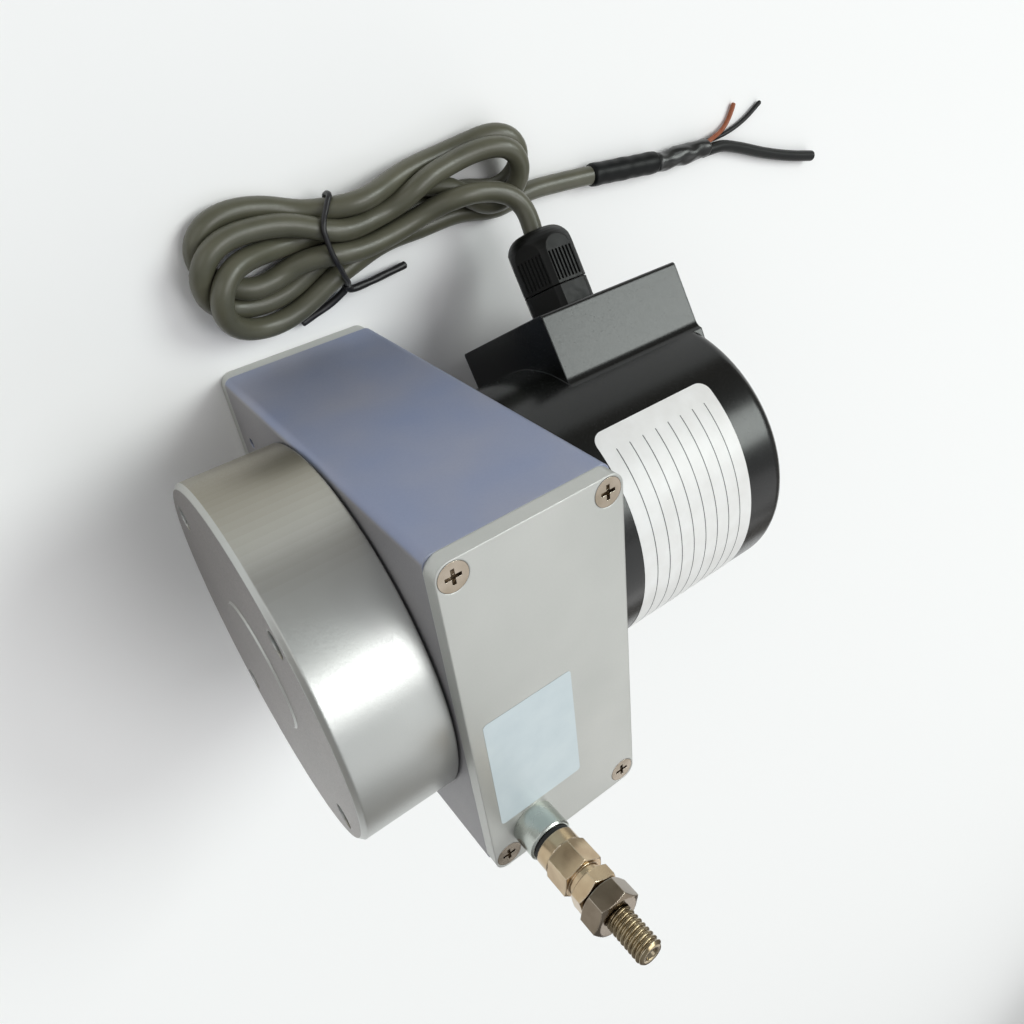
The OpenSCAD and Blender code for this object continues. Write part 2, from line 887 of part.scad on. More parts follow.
// Two set screws at right angles, through the hub beside the drum
module at_drum_screws() {
    for (a = [0, 90])
        translate([(drum_hub_x0 + drum_x0) / 2, shaft_y, shaft_z])
            rotate([a, 0, 0])
                translate([0, 0, shaft_d / 2 + 2 * fit_gap])
                    children();
}

module drum_screws() {
    color("#55565a")
        at_drum_screws()
            cylinder(d = set_screw_d, h = set_screw_len);
}

module wound_wire() {
    color("#c9cdd2")
        for (i = [1 : turns_per_side], side = [-1, 1])
            on_shaft(wire_x + side * i * wire_pitch)
                rotate_extrude()
                    translate([lay_r, 0])
                        circle(d = wire_d);
}

// ---- Encoder ----

module encoder_flange() {
    color("#1c1d20")
        difference() {
            union() {
                on_shaft(cover_x0)
                    cylinder(r = cover_r, h = flange_t);
                on_shaft(-half_x - weld)
                    cylinder(d = flange_bore_d, h = housing_wall);
                on_shaft(cover_x0 - pilot_len)
                    tube(2 * pilot_r, 2 * (pilot_r - pilot_wall), pilot_len + weld);
                on_shaft(bearing_b_x - bearing_lip)
                    cylinder(d = bearing_hub_d, h = -half_x - bearing_b_x);
            }
            on_shaft(bearing_b_x)
                cylinder(d = bearing_d + 2 * fit_gap, h = bearing_w + housing_wall);
            on_shaft(bearing_b_x - bearing_lip)
                bore(bearing_lip_d, bearing_w);
            at_flange_screws(cover_x0)
                bore(m3_clear_d, flange_t);
        }
}

module flange_screws() {
    color("#77787c")
        at_flange_screws(cover_x0)
            mirror([0, 0, 1])
                cap_screw(flange_t + housing_wall - screw_end_gap);
}

// Outline of the cable block with fillets into the cover; Y points out of the block
module block_outline() {
    centre_x = block_w / 2 + block_fillet;
    centre_y = sqrt(pow(cover_r + block_fillet, 2) - pow(centre_x, 2));
    touch = cover_r / (cover_r + block_fillet);
    translate([-block_w / 2, 0])
        square([block_w, block_top - block_edge_r]);
    translate([-block_w / 2 + block_edge_r, 0])
        square([block_w - 2 * block_edge_r, block_top]);
    for (s = [-1, 1]) {
        translate([s * (block_w / 2 - block_edge_r), block_top - block_edge_r])
            circle(block_edge_r);
        difference() {
            polygon([
                [s * (block_w / 2 - 1), centre_y], [s * block_w / 2, centre_y],
                [s * centre_x * touch, centre_y * touch], [s * (block_w / 2 - 1), 0]
            ]);
            translate([s * centre_x, centre_y])
                circle(block_fillet);
        }
    }
}

// Places an outline, drawn with Y out of the block, on the shaft from x onwards
module along_block(x, length) {
    translate([x, shaft_y, shaft_z])
        rotate([90 + block_angle, 0, 0])
            rotate([90, 0, 90])
                linear_extrude(length)
                    children();
}

module encoder_cover() {
    cover_len = cover_end + cover_x0;
    color("#202226")
        difference() {
            union() {
                on_shaft(-cover_end)
                    rotate_extrude() {
                        square([cover_r - cover_rim_r, cover_len]);
                        translate([0, cover_rim_r])
                            square([cover_r, cover_len - cover_rim_r]);
                        translate([cover_r - cover_rim_r, cover_rim_r])
                            circle(cover_rim_r);
                    }
                along_block(block_x0, block_len)
                    block_outline();
            }
            on_shaft(-cover_end + cover_end_t)
                cylinder(r = cover_bore_r, h = cover_len);
            along_block(block_x0 + block_wall, block_len - 2 * block_wall)
                translate([-block_w / 2 + block_wall, 0])
                    square([block_w - 2 * block_wall, block_top - block_wall]);
            on_block(gland_x, block_top - gland_thread_len)
                bore(gland_thread_d + 2 * fit_gap, gland_thread_len);
            at_standoffs(-cover_end)
                mirror([0, 0, 1])
                    csk_hole(cover_end_t);
        }
}

module at_standoffs(x) {
    round_shaft(x, standoff_r, standoff_angles)
        children();
}

module cover_screws() {
    color("#3a3b3f")
        at_standoffs(-cover_end)
            mirror([0, 0, 1])
                csk_screw(cover_screw_len);
}

// Posts from the flange to the end of the cover, with a shoulder that carries the board
module standoffs() {
    color("#c8b26a")
        difference() {
            union() {
                at_standoffs(-cover_end + cover_end_t)
                    cylinder(d = standoff_neck_d, h = cover_x0 + cover_end - cover_end_t);
                at_standoffs(board_x)
                    cylinder(d = standoff_d, h = cover_x0 - board_x);
            }
            at_standoffs(-cover_end)
                cylinder(d = m3_tap_d, h = cover_screw_len + over);
        }
}

module circuit_board() {
    color("#1f6a3c")
        difference() {
            on_shaft(board_x - board_t)
                tube(board_d, board_bore_d, board_t);
            at_standoffs(board_x - board_t)
                bore(standoff_neck_d + 2 * fit_gap, board_t);
        }
}

// Sensor package on the disc side of the board
module read_head() {
    head_h = disc_x - board_x - head_gap;
    color("#2a2a2e")
        translate([board_x, shaft_y, shaft_z + (disc_d - head_size) / 2])
            difference() {
                translate([0, -head_size / 2, -head_size / 2])
                    cube([head_h, head_size, head_size]);
                translate([head_h - 1, -head_window[0] / 2, -head_window[1] / 2])
                    cube([1 + over, head_window[0], head_window[1]]);
            }
}

// Screw terminals for the cable's wires, on the back of the board
module terminal_block() {
    terminal_len = terminal_ways * terminal_pitch;
    color("#2f8f4a")
        translate([board_x - board_t - terminal_h, shaft_y - terminal_len / 2, shaft_z - terminal_drop])
            difference() {
                cube([terminal_h, terminal_len, terminal_w]);
                for (i = [0 : terminal_ways - 1])
                    translate([-over, (i + 0.5) * terminal_pitch, terminal_w / 2])
                        rotate([0, 90, 0])
                            cylinder(d = terminal_hole_d, h = terminal_h / 2);
            }
}

module disc_hub() {
    color("#b4b7bc")
        difference() {
            union() {
                on_shaft(disc_x + disc_t)
                    cylinder(d = disc_hub_d, h = disc_hub_len);
                on_shaft(disc_x)
                    cylinder(d = disc_hub_spigot_d, h = disc_t + weld);
            }
            on_shaft(disc_x)
                bore(shaft_d + 2 * fit_gap, disc_t + disc_hub_len);
        }
}

module code_disc() {
    color("#9fb2bd")
        on_shaft(disc_x)
            tube(disc_d, disc_hub_spigot_d + 2 * fit_gap, disc_t);
}

// ---- Cable gland ----

module gland_body() {
    color("#17181a")
        on_block(gland_x, block_top)
            difference() {
                union() {
                    translate([0, 0, -gland_thread_len])
                        cylinder(d = gland_thread_d, h = gland_thread_len + weld);
                    gland_hex(gland_hex_h - gland_seam);
                    cylinder(d = gland_spigot_d, h = gland_spigot_h);
                }
                translate([0, 0, -gland_thread_len])
                    bore(gland_seal_d + 2 * fit_gap, gland_thread_len + gland_hex_h + gland_rib_h);
            }
}

// Hexagon of the gland with its corners turned down
module gland_hex(h) {
    intersection() {
        cylinder(r = gland_flats / 2 / cos(30), h = h, $fn = 6);
        cylinder(r = gland_corner_r, h = h);
    }
}

module gland_seal() {
    color("#2b2b2b")
        on_block(gland_x, block_top)
            tube(gland_seal_d, gland_seal_bore_d, gland_seal_end);
}

// Domed nut: turned dome, six flats, and fine grip ribs on each flat
module gland_nut() {
    color("#17181a")
        on_block(gland_x, block_top + gland_hex_h)
            difference() {
                intersection() {
                    rotate_extrude()
                        polygon(concat(
                            [[0, 0], [gland_corner_r, 0]],
                            [for (a = [0 : 10 : 90]) [
                                gland_corner_r - gland_dome_side * gland_dome_h * (1 - cos(a)),
                                gland_rib_h + gland_dome_h * sin(a)
                            ]],
                            [[0, gland_rib_h + gland_dome_h]]
                        ));
                    cylinder(r = gland_flats / 2 / cos(30), h = gland_nut_h, $fn = 6);
                }
                translate([0, 0, -over])
                    cylinder(d = gland_spigot_d + 2 * fit_gap, h = gland_rib_h + over);
                cylinder(d = gland_seal_d + 2 * fit_gap, h = gland_seal_end - gland_hex_h + fit_gap);
                bore(gland_mouth_d, gland_nut_h);
                for (face = [30 : 60 : 330], i = [-(rib_count - 1) / 2 : (rib_count - 1) / 2])
                    rotate(face)
                        translate([gland_flats / 2 - rib_depth, i * rib_pitch - rib_w / 2, rib_foot])
                            cube([rib_depth + over, rib_w, gland_rib_h - rib_foot]);
            }
}

// ---- Wire end ----

module wire_lead() {
    color("#c9cdd2")
        on_wire(shaft_z)
            cylinder(d = wire_d, h = ferrule_z + ferrule_len - shaft_z);
}

module stop_ring() {
    color("#141414")
        on_wire(ring_z)
            tube(collar_d - run_gap, stop_ring_bore_d, stop_ring_t);
}

module wire_clamp() {
    color("#b5a68d")
        difference() {
            union() {
                on_wire(clamp_z)
                    cylinder(d = collar_d, h = clamp_collar_h);
                on_wire(hex_z)
                    rotate(clamp_turn)
                        chamfered_hex(clamp_flats, clamp_hex_h, clamp_bevel);
                on_wire(neck_z - weld)
                    cylinder(d = neck_d, h = clamp_neck_h + weld);
            }
            on_wire(clamp_z - over)
                cylinder(d = eyelet_bore_d, h = ferrule_z - clamp_z + over);
            on_wire(ferrule_z - fit_gap)
                cylinder(d = ferrule_d + 2 * fit_gap, h = stud_z0 - ferrule_z + over);
            on_wire(stud_z0)
                cylinder(d = stud_root_d + 2 * fit_gap, h = lock_z - stud_z0 + over);
        }
}

module wire_ferrule() {
    color("#a9733f")
        on_wire(ferrule_z)
            tube(ferrule_d, wire_d + 2 * fit_gap, ferrule_len);
}

module lock_nut() {
    color("#b3a791")
        on_wire(lock_z)
            rotate(lock_nut_turn)
                hex_nut(clamp_flats, lock_nut_h);
}

module mounting_nut() {
    color("#a59a88")
        on_wire(nut_z)
            rotate(mounting_nut_turn)
                hex_nut(mounting_nut_flats, mounting_nut_h);
}

// Nut with both faces chamfered, bored to run on the root of the stud
module hex_nut(flats, h) {
    difference() {
        chamfered_hex(flats, h, nut_bevel);
        bore(stud_root_d + 2 * fit_gap, h);
    }
}

// Slimmer where the clamp and the nuts hold it, full size where it stands free
module stud() {
    color("#a89d8a")
        difference() {
            union() {
                on_wire(stud_z0)
                    cylinder(d = stud_root_d, h = stud_free_z - stud_z0 + weld);
                on_wire(stud_free_z)
                    chamfered_rod(stud_d, stud_free, stud_chamfer);
            }
            on_wire(stud_z1 - stud_hole_len)
                cylinder(d = stud_hole_d, h = stud_hole_len + over);
        }
}

// ---- Cable, hank and leads ----

module cable() {
    color("#6f6f5f")
        swept_tube(cable_route, cable_d, 10);
}

module hank_outline() {
    hull() {
        at_disc(hank_big);
        at_disc(hank_waist);
    }
    hull() {
        at_disc(hank_waist);
        at_disc(hank_small);
    }
}

module at_disc(disc) {
    translate([disc[0], disc[1]])
        circle(disc[2], $fn = 32);
}

module cable_hank() {
    color("#6f6f5f")
        difference() {
            linear_extrude(hank_h)
                hank_outline();
            tie_band(tie_t + fit_gap, tie_w + tie_slack, over);
        }
}

// Square band round the waist of the hank: t thick, w wide and proud by extra
module tie_band(t, w, extra) {
    waist_y = 2 * hank_waist[2];
    translate([hank_waist[0], hank_waist[1], hank_h / 2])
        difference() {
            cube([w, waist_y + 2 * extra, hank_h + 2 * extra], center = true);
            cube([w + over, waist_y - 2 * t, hank_h - 2 * t], center = true);
        }
}

// Wire tie: a band sunk into the hank, twisted together at one side
module cable_tie() {
    color("#121212") {
        tie_band(tie_t, tie_w, 0);
        translate(tie_knot)
            sphere(d = tie_knot_d);
        for (end = tie_ends)
            rod(tie_knot, end, tie_end_d);
    }
}

module cable_tail() {
    color("#6f6f5f")
        swept_tube(tail_route, cable_d, 10);
}

module shrink_sleeve() {
    color("#1b1c1c")
        difference() {
            rod(sleeve_start, sleeve_end, sleeve_d);
            rod(sleeve_start - over * unit(sleeve_end - sleeve_start), tail_end, cable_d + 4 * fit_gap);
        }
}

// Wrapped joint between the cable and its leads, pressed a little flat
module lead_joint() {
    color("#232323")
        hull() {
            rod(joint_start, joint_start + joint_cap * joint_way, joint_d, $fn = 32);
            rod(joint_end - joint_cap * joint_way, joint_end, joint_d, $fn = 32);
        }
}

module lead_orange() {
    color("#b5552a")
        swept_tube(orange_route, lead_d, 8);
}

module lead_black() {
    color("#1a1a1a")
        swept_tube(black_route, lead_d, 8);
}

module lead_thick() {
    color("#161616")
        swept_tube(thick_route, thick_lead_d, 8);
}

housing();
top_plate();
base_plate();
plate_screws();
nozzle();
nozzle_eyelet();
spring_case();
spring_case_base();
case_screws();
mainspring();
bearing_outer_rings();
encoder_flange();
flange_screws();
encoder_cover();
cover_screws();
standoffs();
circuit_board();
read_head();
terminal_block();
gland_body();
gland_seal();
gland_nut();
drum();
drum_shaft();
drum_screws();
wound_wire();
retaining_rings();
bearing_inner_rings();
bearing_balls();
spring_arbor();
disc_hub();
code_disc();
wire_lead();
stop_ring();
wire_clamp();
wire_ferrule();
lock_nut();
mounting_nut();
stud();
cable();
cable_hank();
cable_tail();
cable_tie();
shrink_sleeve();
lead_joint();
lead_orange();
lead_black();
lead_thick();
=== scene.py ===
import math

import bpy
import numpy as np
from mathutils import Matrix, Vector


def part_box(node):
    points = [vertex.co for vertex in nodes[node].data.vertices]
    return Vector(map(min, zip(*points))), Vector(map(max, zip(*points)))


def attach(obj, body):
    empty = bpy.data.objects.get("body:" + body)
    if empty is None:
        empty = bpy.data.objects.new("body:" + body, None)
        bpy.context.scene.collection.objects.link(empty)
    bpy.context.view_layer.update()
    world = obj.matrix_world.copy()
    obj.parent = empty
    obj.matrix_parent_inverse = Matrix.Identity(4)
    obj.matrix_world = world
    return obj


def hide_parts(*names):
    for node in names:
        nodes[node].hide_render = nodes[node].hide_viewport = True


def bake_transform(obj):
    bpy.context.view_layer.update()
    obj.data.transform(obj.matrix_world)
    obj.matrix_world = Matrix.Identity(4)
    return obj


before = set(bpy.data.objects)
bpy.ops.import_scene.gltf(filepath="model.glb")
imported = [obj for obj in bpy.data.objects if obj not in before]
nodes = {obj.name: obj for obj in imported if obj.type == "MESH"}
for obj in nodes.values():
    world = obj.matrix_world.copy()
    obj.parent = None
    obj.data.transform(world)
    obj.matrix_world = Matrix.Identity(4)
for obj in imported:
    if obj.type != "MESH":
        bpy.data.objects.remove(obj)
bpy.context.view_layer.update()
mm = 0.001  # sizes and places are in mm unless a note says otherwise
print("frame loaded:", len(nodes), "solids")

cameraSet = {
    "place": (57.86, -119.97, 183.27),
    "right": (-0.8004, 0.1097, 0.5893),
    "down": (0.4220, 0.8013, 0.4240),
    "ahead": (-0.4257, 0.5881, -0.6877),
    "lensMm": 28.276,
    "sensorMm": 36,
    "nearestMm": 1.0,
}


def makeCamera(setup):
    data = bpy.data.cameras.new("camera")
    data.sensor_width = setup["sensorMm"]
    data.lens = setup["lensMm"]
    data.clip_start = setup["nearestMm"] * mm
    camera = bpy.data.objects.new("camera", data)
    bpy.context.scene.collection.objects.link(camera)
    right, up, back = Vector(setup["right"]), -Vector(setup["down"]), -Vector(setup["ahead"])
    turn = Matrix((right, up, back)).transposed().to_4x4()
    camera.matrix_world = Matrix.Translation(Vector(setup["place"]) * mm) @ turn
    bpy.context.scene.camera = camera


makeCamera(cameraSet)
print("camera placed")


def toLinear(hexColour):
    # the sRGB curve: a colour as a picker gives it, turned to the linear values that a shader takes
    channels = [int(hexColour[i:i + 2], 16) / 255 for i in (1, 3, 5)]
    return [c / 12.92 if c <= 0.04045 else ((c + 0.055) / 1.055) ** 2.4 for c in channels] + [1.0]


def addNode(tree, kind, settings=None, inputs=None):
    node = tree.nodes.new(kind)
    for key, value in (settings or {}).items():
        setattr(node, key, value)
    for key, value in (inputs or {}).items():
        if isinstance(value, bpy.types.NodeSocket):
            tree.links.new(value, node.inputs[key])
        else:
            node.inputs[key].default_value = value
    return node


def newMaterial(name, roughness, metallic=0.0, **constants):
    # constants are further sockets of the shader, with _ for each space in their names
    material = bpy.data.materials.new(name)
    material.use_nodes = True
    tree = material.node_tree
    shader = tree.nodes["Principled BSDF"]
    shader.inputs["Roughness"].default_value = roughness
    shader.inputs["Metallic"].default_value = metallic
    for socket, value in constants.items():
        shader.inputs[socket.replace("_", " ")].default_value = value
    place = addNode(tree, "ShaderNodeTexCoord").outputs["Object"]
    return material, tree, shader, place


def grain(tree, place, sizeMm, detail=3.0, stretch=(1, 1, 1)):
    # noise with blobs about sizeMm across, drawn out where a stretch value is below 1
    scaled = addNode(tree, "ShaderNodeVectorMath", {"operation": "MULTIPLY"}, {0: place, 1: stretch})
    return addNode(tree, "ShaderNodeTexNoise", None, {
        "Vector": scaled.outputs[0], "Scale": 1 / (sizeMm * mm), "Detail": detail}).outputs["Fac"]


def mapRange(tree, value, low, high, fromLow=0.3, fromHigh=0.7):
    return addNode(tree, "ShaderNodeMapRange", None, {
        "Value": value, "From Min": fromLow, "From Max": fromHigh,
        "To Min": low, "To Max": high}).outputs["Result"]


def shade(tree, shader, factor, darkHex, lightHex, low=0.25, high=0.75):
    ramp = addNode(tree, "ShaderNodeValToRGB", None, {"Fac": factor})
    for element, position, colour in zip(ramp.color_ramp.elements, (low, high), (darkHex, lightHex)):
        element.position = position
        element.color = toLinear(colour)
    tree.links.new(ramp.outputs["Color"], shader.inputs["Base Color"])
    return ramp.outputs["Color"]


def softEdge(tree, radiusMm, samples=6):
    # no machined or moulded edge is perfectly sharp: this rounds it off in the shading
    node = addNode(tree, "ShaderNodeBevel", {"samples": samples}, {"Radius": radiusMm * mm})
    return node.outputs["Normal"]


def bump(tree, shader, height, depthMm, strength=1.0, edge=None):
    node = addNode(tree, "ShaderNodeBump", None, {
        "Height": height, "Distance": depthMm * mm, "Strength": strength})
    if edge:
        tree.links.new(edge, node.inputs["Normal"])
    tree.links.new(node.outputs["Normal"], shader.inputs["Normal"])


def blend(tree, factor, first, second):
    node = addNode(tree, "ShaderNodeMix", {"data_type": "RGBA"}, {0: factor, 6: first, 7: second})
    return node.outputs[2]


def paintedEdgeHighlight(tree, shader, colour, edge, highlightHex, amount, fullBelow=0.78, noneAbove=0.97):
    # painted highlight: where the rounded edge leaves the flat face, the colour turns paler, toward the
    # given edge colour
    flat = addNode(tree, "ShaderNodeNewGeometry").outputs["True Normal"]
    match = addNode(tree, "ShaderNodeVectorMath", {"operation": "DOT_PRODUCT"}, {0: edge, 1: flat})
    highlightShare = mapRange(tree, match.outputs["Value"], amount, 0.0, fullBelow, noneAbove)
    tree.links.new(blend(tree, highlightShare, colour, toLinear(highlightHex)), shader.inputs["Base Color"])


def roughen(tree, shader, factor, roughness, less=0.04, more=0.06):
    tree.links.new(mapRange(tree, factor, roughness - less, roughness + more), shader.inputs["Roughness"])


def facing(tree, axis, low, high):
    # runs from 0 to 1 as a surface turns toward one direction of the part
    outward = addNode(tree, "ShaderNodeNewGeometry").outputs["True Normal"]
    along = addNode(tree, "ShaderNodeVectorMath", {"operation": "DOT_PRODUCT"}, {0: outward, 1: axis})
    return mapRange(tree, along.outputs["Value"], 0.0, 1.0, low, high)


def blastedAluminium(name, dark, light, worn, roughness, metallic, depthMm=0.012, side=None, **constants):
    # bead blasted, then anodised: a fine even grain spreads every shine into a soft glow
    material, tree, shader, place = newMaterial(name, roughness, metallic, **constants)
    fine = grain(tree, place, sizeMm=0.35, detail=4.0)
    broad = grain(tree, place, sizeMm=22.0, detail=2.0)
    edge = softEdge(tree, radiusMm=0.45)
    colour = shade(tree, shader, broad, dark, light)
    if side:
        # painted reflection: the walls facing this way get a plainer grey, and the rest keep a colour
        # painted bluer as a mirrored sky
        plain = shade(tree, shader, broad, side["dark"], side["light"])
        colour = blend(tree, facing(tree, side["axis"], low=0.85, high=0.97), colour, plain)
    # painted highlight on the rounded edges
    paintedEdgeHighlight(tree, shader, colour, edge, worn, amount=0.6)
    roughen(tree, shader, fine, roughness)
    bump(tree, shader, fine, depthMm, strength=0.55, edge=edge)
    return material


def turnedCase(name, wall, tanned, face, worn, roughness, metallic):
    # the wall is blasted and bright, with painted shade where it faces -Y and down; the flat face
    # is painted darker, as the shade of the shadowed floor it mirrors
    material, tree, shader, place = newMaterial(name, roughness, metallic)
    fine = grain(tree, place, sizeMm=0.35, detail=4.0)
    broad = grain(tree, place, sizeMm=22.0, detail=2.0)
    edge = softEdge(tree, radiusMm=0.6)
    wallColour = shade(tree, shader, broad, wall["dark"], wall["light"])
    faceColour = shade(tree, shader, broad, face["dark"], face["light"])
    # painted shade: the wall turns to a warm dark colour as it faces -Y and down
    toward = facing(tree, tanned["axis"], low=0.55, high=1.0)
    wallColour = blend(tree, toward, wallColour, toLinear(tanned["hex"]))
    # painted shade: faces square to the axis take the darker face colour
    colour = blend(tree, facing(tree, face["axis"], low=0.85, high=0.97), wallColour, faceColour)
    # painted highlight on the rounded edges
    paintedEdgeHighlight(tree, shader, colour, edge, worn, amount=0.35)
    roughen(tree, shader, fine, roughness)
    bump(tree, shader, fine, depthMm=0.012, strength=0.5, edge=edge)
    return material


def platedMetal(name, dark, light, roughness, toolMm, stretch=(1, 1, 1), worn="#e3dccb", edgeMm=0.3):
    # turned or milled, then plated: tool marks run one way, and handling dulls it a little in patches
    material, tree, shader, place = newMaterial(name, roughness, metallic=1.0)
    marks = grain(tree, place, toolMm, detail=2.0, stretch=stretch)
    patches = grain(tree, place, sizeMm=4.5, detail=2.0)
    edge = softEdge(tree, edgeMm)
    colour = shade(tree, shader, patches, dark, light, low=0.3, high=0.7)
    # painted highlight on the rounded edges
    paintedEdgeHighlight(tree, shader, colour, edge, worn, amount=0.9)
    roughen(tree, shader, patches, roughness, less=0.03)
    bump(tree, shader, marks, depthMm=0.002, strength=0.6, edge=edge)
    return material


def mouldedPlastic(name, dark, light, roughness, grainMm=0.5, depthMm=0.008, **constants):
    # injection moulded: the tool's faint texture, with a skin that is slightly uneven in gloss
    material, tree, shader, place = newMaterial(name, roughness, **constants)
    fine = grain(tree, place, grainMm)
    shade(tree, shader, grain(tree, place, sizeMm=6.0, detail=2.0), dark, light)
    roughen(tree, shader, fine, roughness)
    bump(tree, shader, fine, depthMm, strength=0.5, edge=softEdge(tree, radiusMm=0.25))
    return material


def drawnWire(name, colour, roughness, swellMm):
    # steel drawn to a satin shine, in a slow swell so that it isn't even; its strands are in the mesh
    material, tree, shader, place = newMaterial(name, roughness, metallic=1.0)
    shader.inputs["Base Color"].default_value = toLinear(colour)
    swell = addNode(tree, "ShaderNodeTexWave", {"bands_direction": "DIAGONAL"}, {
        "Vector": place, "Scale": 2 * math.pi / (10 * swellMm * mm)}).outputs["Fac"]
    bump(tree, shader, swell, depthMm=0.05, strength=0.8)
    return material


def codedGlass(name, dark, light, roughness, bandScale, **constants):
    # a glass disc with chrome lines, too fine to show, so drawn as a few coarse straight bands
    material, tree, shader, place = newMaterial(name, roughness, **constants)
    bands = addNode(tree, "ShaderNodeTexWave", {"wave_type": "BANDS", "bands_direction": "Y"}, {
        "Vector": place, "Scale": bandScale}).outputs["Fac"]
    shade(tree, shader, bands, dark, light, low=0.45, high=0.55)
    return material


# each finish: how it is made, the solids that wear it, and its values
finishSet = {
    # painted reflection: silver aluminium painted blue-grey as the blue sky it mirrors, with a plainer grey
    # on the walls facing +X
    "blueGreyAnodisedAluminium": (blastedAluminium, ["housing"], dict(
        dark="#8792af", light="#999cac", worn="#c6cad4", roughness=0.46, metallic=0.4,
        side={"axis": (1, 0, 0), "dark": "#8d8c90", "light": "#989698"})),
    "paleAnodisedAluminium": (blastedAluminium, ["top_plate", "base_plate"], dict(
        dark="#b8bab6", light="#c3c4c0", worn="#dcdddb", roughness=0.42, metallic=0.6)),
    "blackAnodisedAluminium": (blastedAluminium, ["encoder_cover", "encoder_flange"], dict(
        dark="#0a0b0a", light="#101211", worn="#3d4140", roughness=0.22, metallic=0.04, depthMm=0.003,
        Specular_IOR_Level=0.42)),
    "turnedAnodisedAluminium": (turnedCase, ["spring_case", "spring_case_base"], dict(
        wall={"dark": "#b9bbb8", "light": "#c5c7c5"}, tanned={"axis": (0, -0.94, -0.34), "hex": "#8d8777"},
        face={"axis": (1, 0, 0), "dark": "#6f6a67", "light": "#7b7571"}, worn="#d3d4d1",
        roughness=0.33, metallic=0.85)),
    "nickelPlatedBrass": (platedMetal, ["wire_clamp", "lock_nut"], dict(
        dark="#b19a7d", light="#c9b596", roughness=0.15, toolMm=0.5, stretch=(1, 1, 6), worn="#f0e8d6")),
    # painted shade: the same nickel plate made darker, for the dark facets of the mounting nut
    "agedNickelPlate": (platedMetal, ["mounting_nut"], dict(
        dark="#75695a", light="#8d8172", roughness=0.16, toolMm=0.5, stretch=(1, 1, 6), worn="#e6ddcf")),
    "brightNickelPlate": (platedMetal, ["nozzle"], dict(
        dark="#b9bfb9", light="#c8cdc7", roughness=0.24, toolMm=0.3, stretch=(0.15, 0.15, 3),
        worn="#eef0ec")),
    "nickelPlatedThread": (platedMetal, [], dict(
        dark="#8c7d62", light="#ab9d82", roughness=0.2, toolMm=0.6, stretch=(1, 1, 4), edgeMm=0.1)),
    "nickelPlatedScrew": (platedMetal, ["plate_screws"], dict(
        dark="#948979", light="#aea395", roughness=0.2, toolMm=0.4, worn="#e8e0d0", edgeMm=0.1)),
    "blackOxideSteel": (platedMetal, ["case_screws", "flange_screws", "cover_screws", "drum_screws"], dict(
        dark="#17181a", light="#2a2b2e", roughness=0.4, toolMm=0.3)),
    "groundSteel": (platedMetal, ["drum_shaft", "spring_arbor", "retaining_rings"], dict(
        dark="#8f9294", light="#b0b3b5", roughness=0.26, toolMm=0.2, stretch=(4, 1, 1))),
    "polishedBearingSteel": (
        platedMetal, ["bearing_outer_rings", "bearing_inner_rings", "bearing_balls"], dict(
            dark="#a9acae", light="#c3c6c8", roughness=0.14, toolMm=0.4)),
    "blueSpringSteel": (platedMetal, ["mainspring"], dict(
        dark="#3d4657", light="#5f6878", roughness=0.3, toolMm=0.3, stretch=(1, 1, 4))),
    "turnedAluminium": (platedMetal, ["disc_hub"], dict(
        dark="#b6b9bb", light="#cdd0d1", roughness=0.28, toolMm=0.25, stretch=(4, 1, 1))),
    "turnedBrass": (platedMetal, ["standoffs", "wire_ferrule"], dict(
        dark="#9c7d45", light="#bf9f62", roughness=0.28, toolMm=0.3, stretch=(4, 1, 1))),
    "glossyBlackNylon": (mouldedPlastic, ["gland_body", "gland_nut"], dict(
        dark="#090a09", light="#10110f", roughness=0.36, grainMm=1.6, depthMm=0.002,
        Specular_IOR_Level=0.22)),
    "blackRubber": (mouldedPlastic, ["gland_seal", "stop_ring"], dict(
        dark="#161616", light="#1f1f1e", roughness=0.62, grainMm=0.4, depthMm=0.012)),
    "greyAcetal": (mouldedPlastic, ["drum"], dict(dark="#3a3d40", light="#474a4d", roughness=0.45)),
    "blackSensorPlastic": (mouldedPlastic, ["read_head"], dict(
        dark="#141516", light="#1d1e1f", roughness=0.5)),
    "greenLaminate": (mouldedPlastic, ["circuit_board", "terminal_block"], dict(
        dark="#1d4a2c", light="#2a6138", roughness=0.32, grainMm=1.2, depthMm=0.01)),
    "whiteCeramic": (mouldedPlastic, ["nozzle_eyelet"], dict(
        dark="#d8d4c9", light="#e6e2d8", roughness=0.18, grainMm=0.6, depthMm=0.003)),
    "strandedSteelWire": (drawnWire, ["wire_lead", "wound_wire"], dict(
        colour="#b4b6b5", roughness=0.3, swellMm=11.31)),
    "codedGlass": (codedGlass, ["code_disc"], dict(
        dark="#5d6a66", light="#c9d6d1", roughness=0.08, bandScale=60.0, Transmission_Weight=0.6, IOR=1.5)),
}


def finishSolids(setup):
    skins = {}
    for name, (make, solids, values) in setup.items():
        skins[name] = make(name, **values)
        for solid in solids:
            mesh = nodes[solid].data
            mesh.materials.clear()
            mesh.materials.append(skins[name])
    return skins


skins = finishSolids(finishSet)
print("solids finished:", sum(len(solids) for make, solids, values in finishSet.values()))


def newPiece(name, points, faces, finish, slot, body="body", smooth=True):
    # points are in mm; the mesh is placed where its points say
    mesh = bpy.data.meshes.new(name)
    mesh.from_pydata([tuple(c * mm for c in p) for p in points], [], faces)
    mesh.materials.append(finish)
    mesh.validate()
    mesh.polygons.foreach_set("use_smooth", [smooth] * len(mesh.polygons))
    piece = bpy.data.objects.new(name, mesh)
    bpy.context.scene.collection.objects.link(piece)
    if body:
        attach(piece, body)
    return piece


def evenSteps(line, stepMm):
    # the same line, with its points about stepMm apart
    run = np.r_[0, np.cumsum(np.linalg.norm(np.diff(line, axis=0), axis=1))]
    marks = np.linspace(0, run[-1], max(2, int(run[-1] / stepMm) + 1))
    return np.stack([np.interp(marks, run, line[:, k]) for k in range(3)], 1)


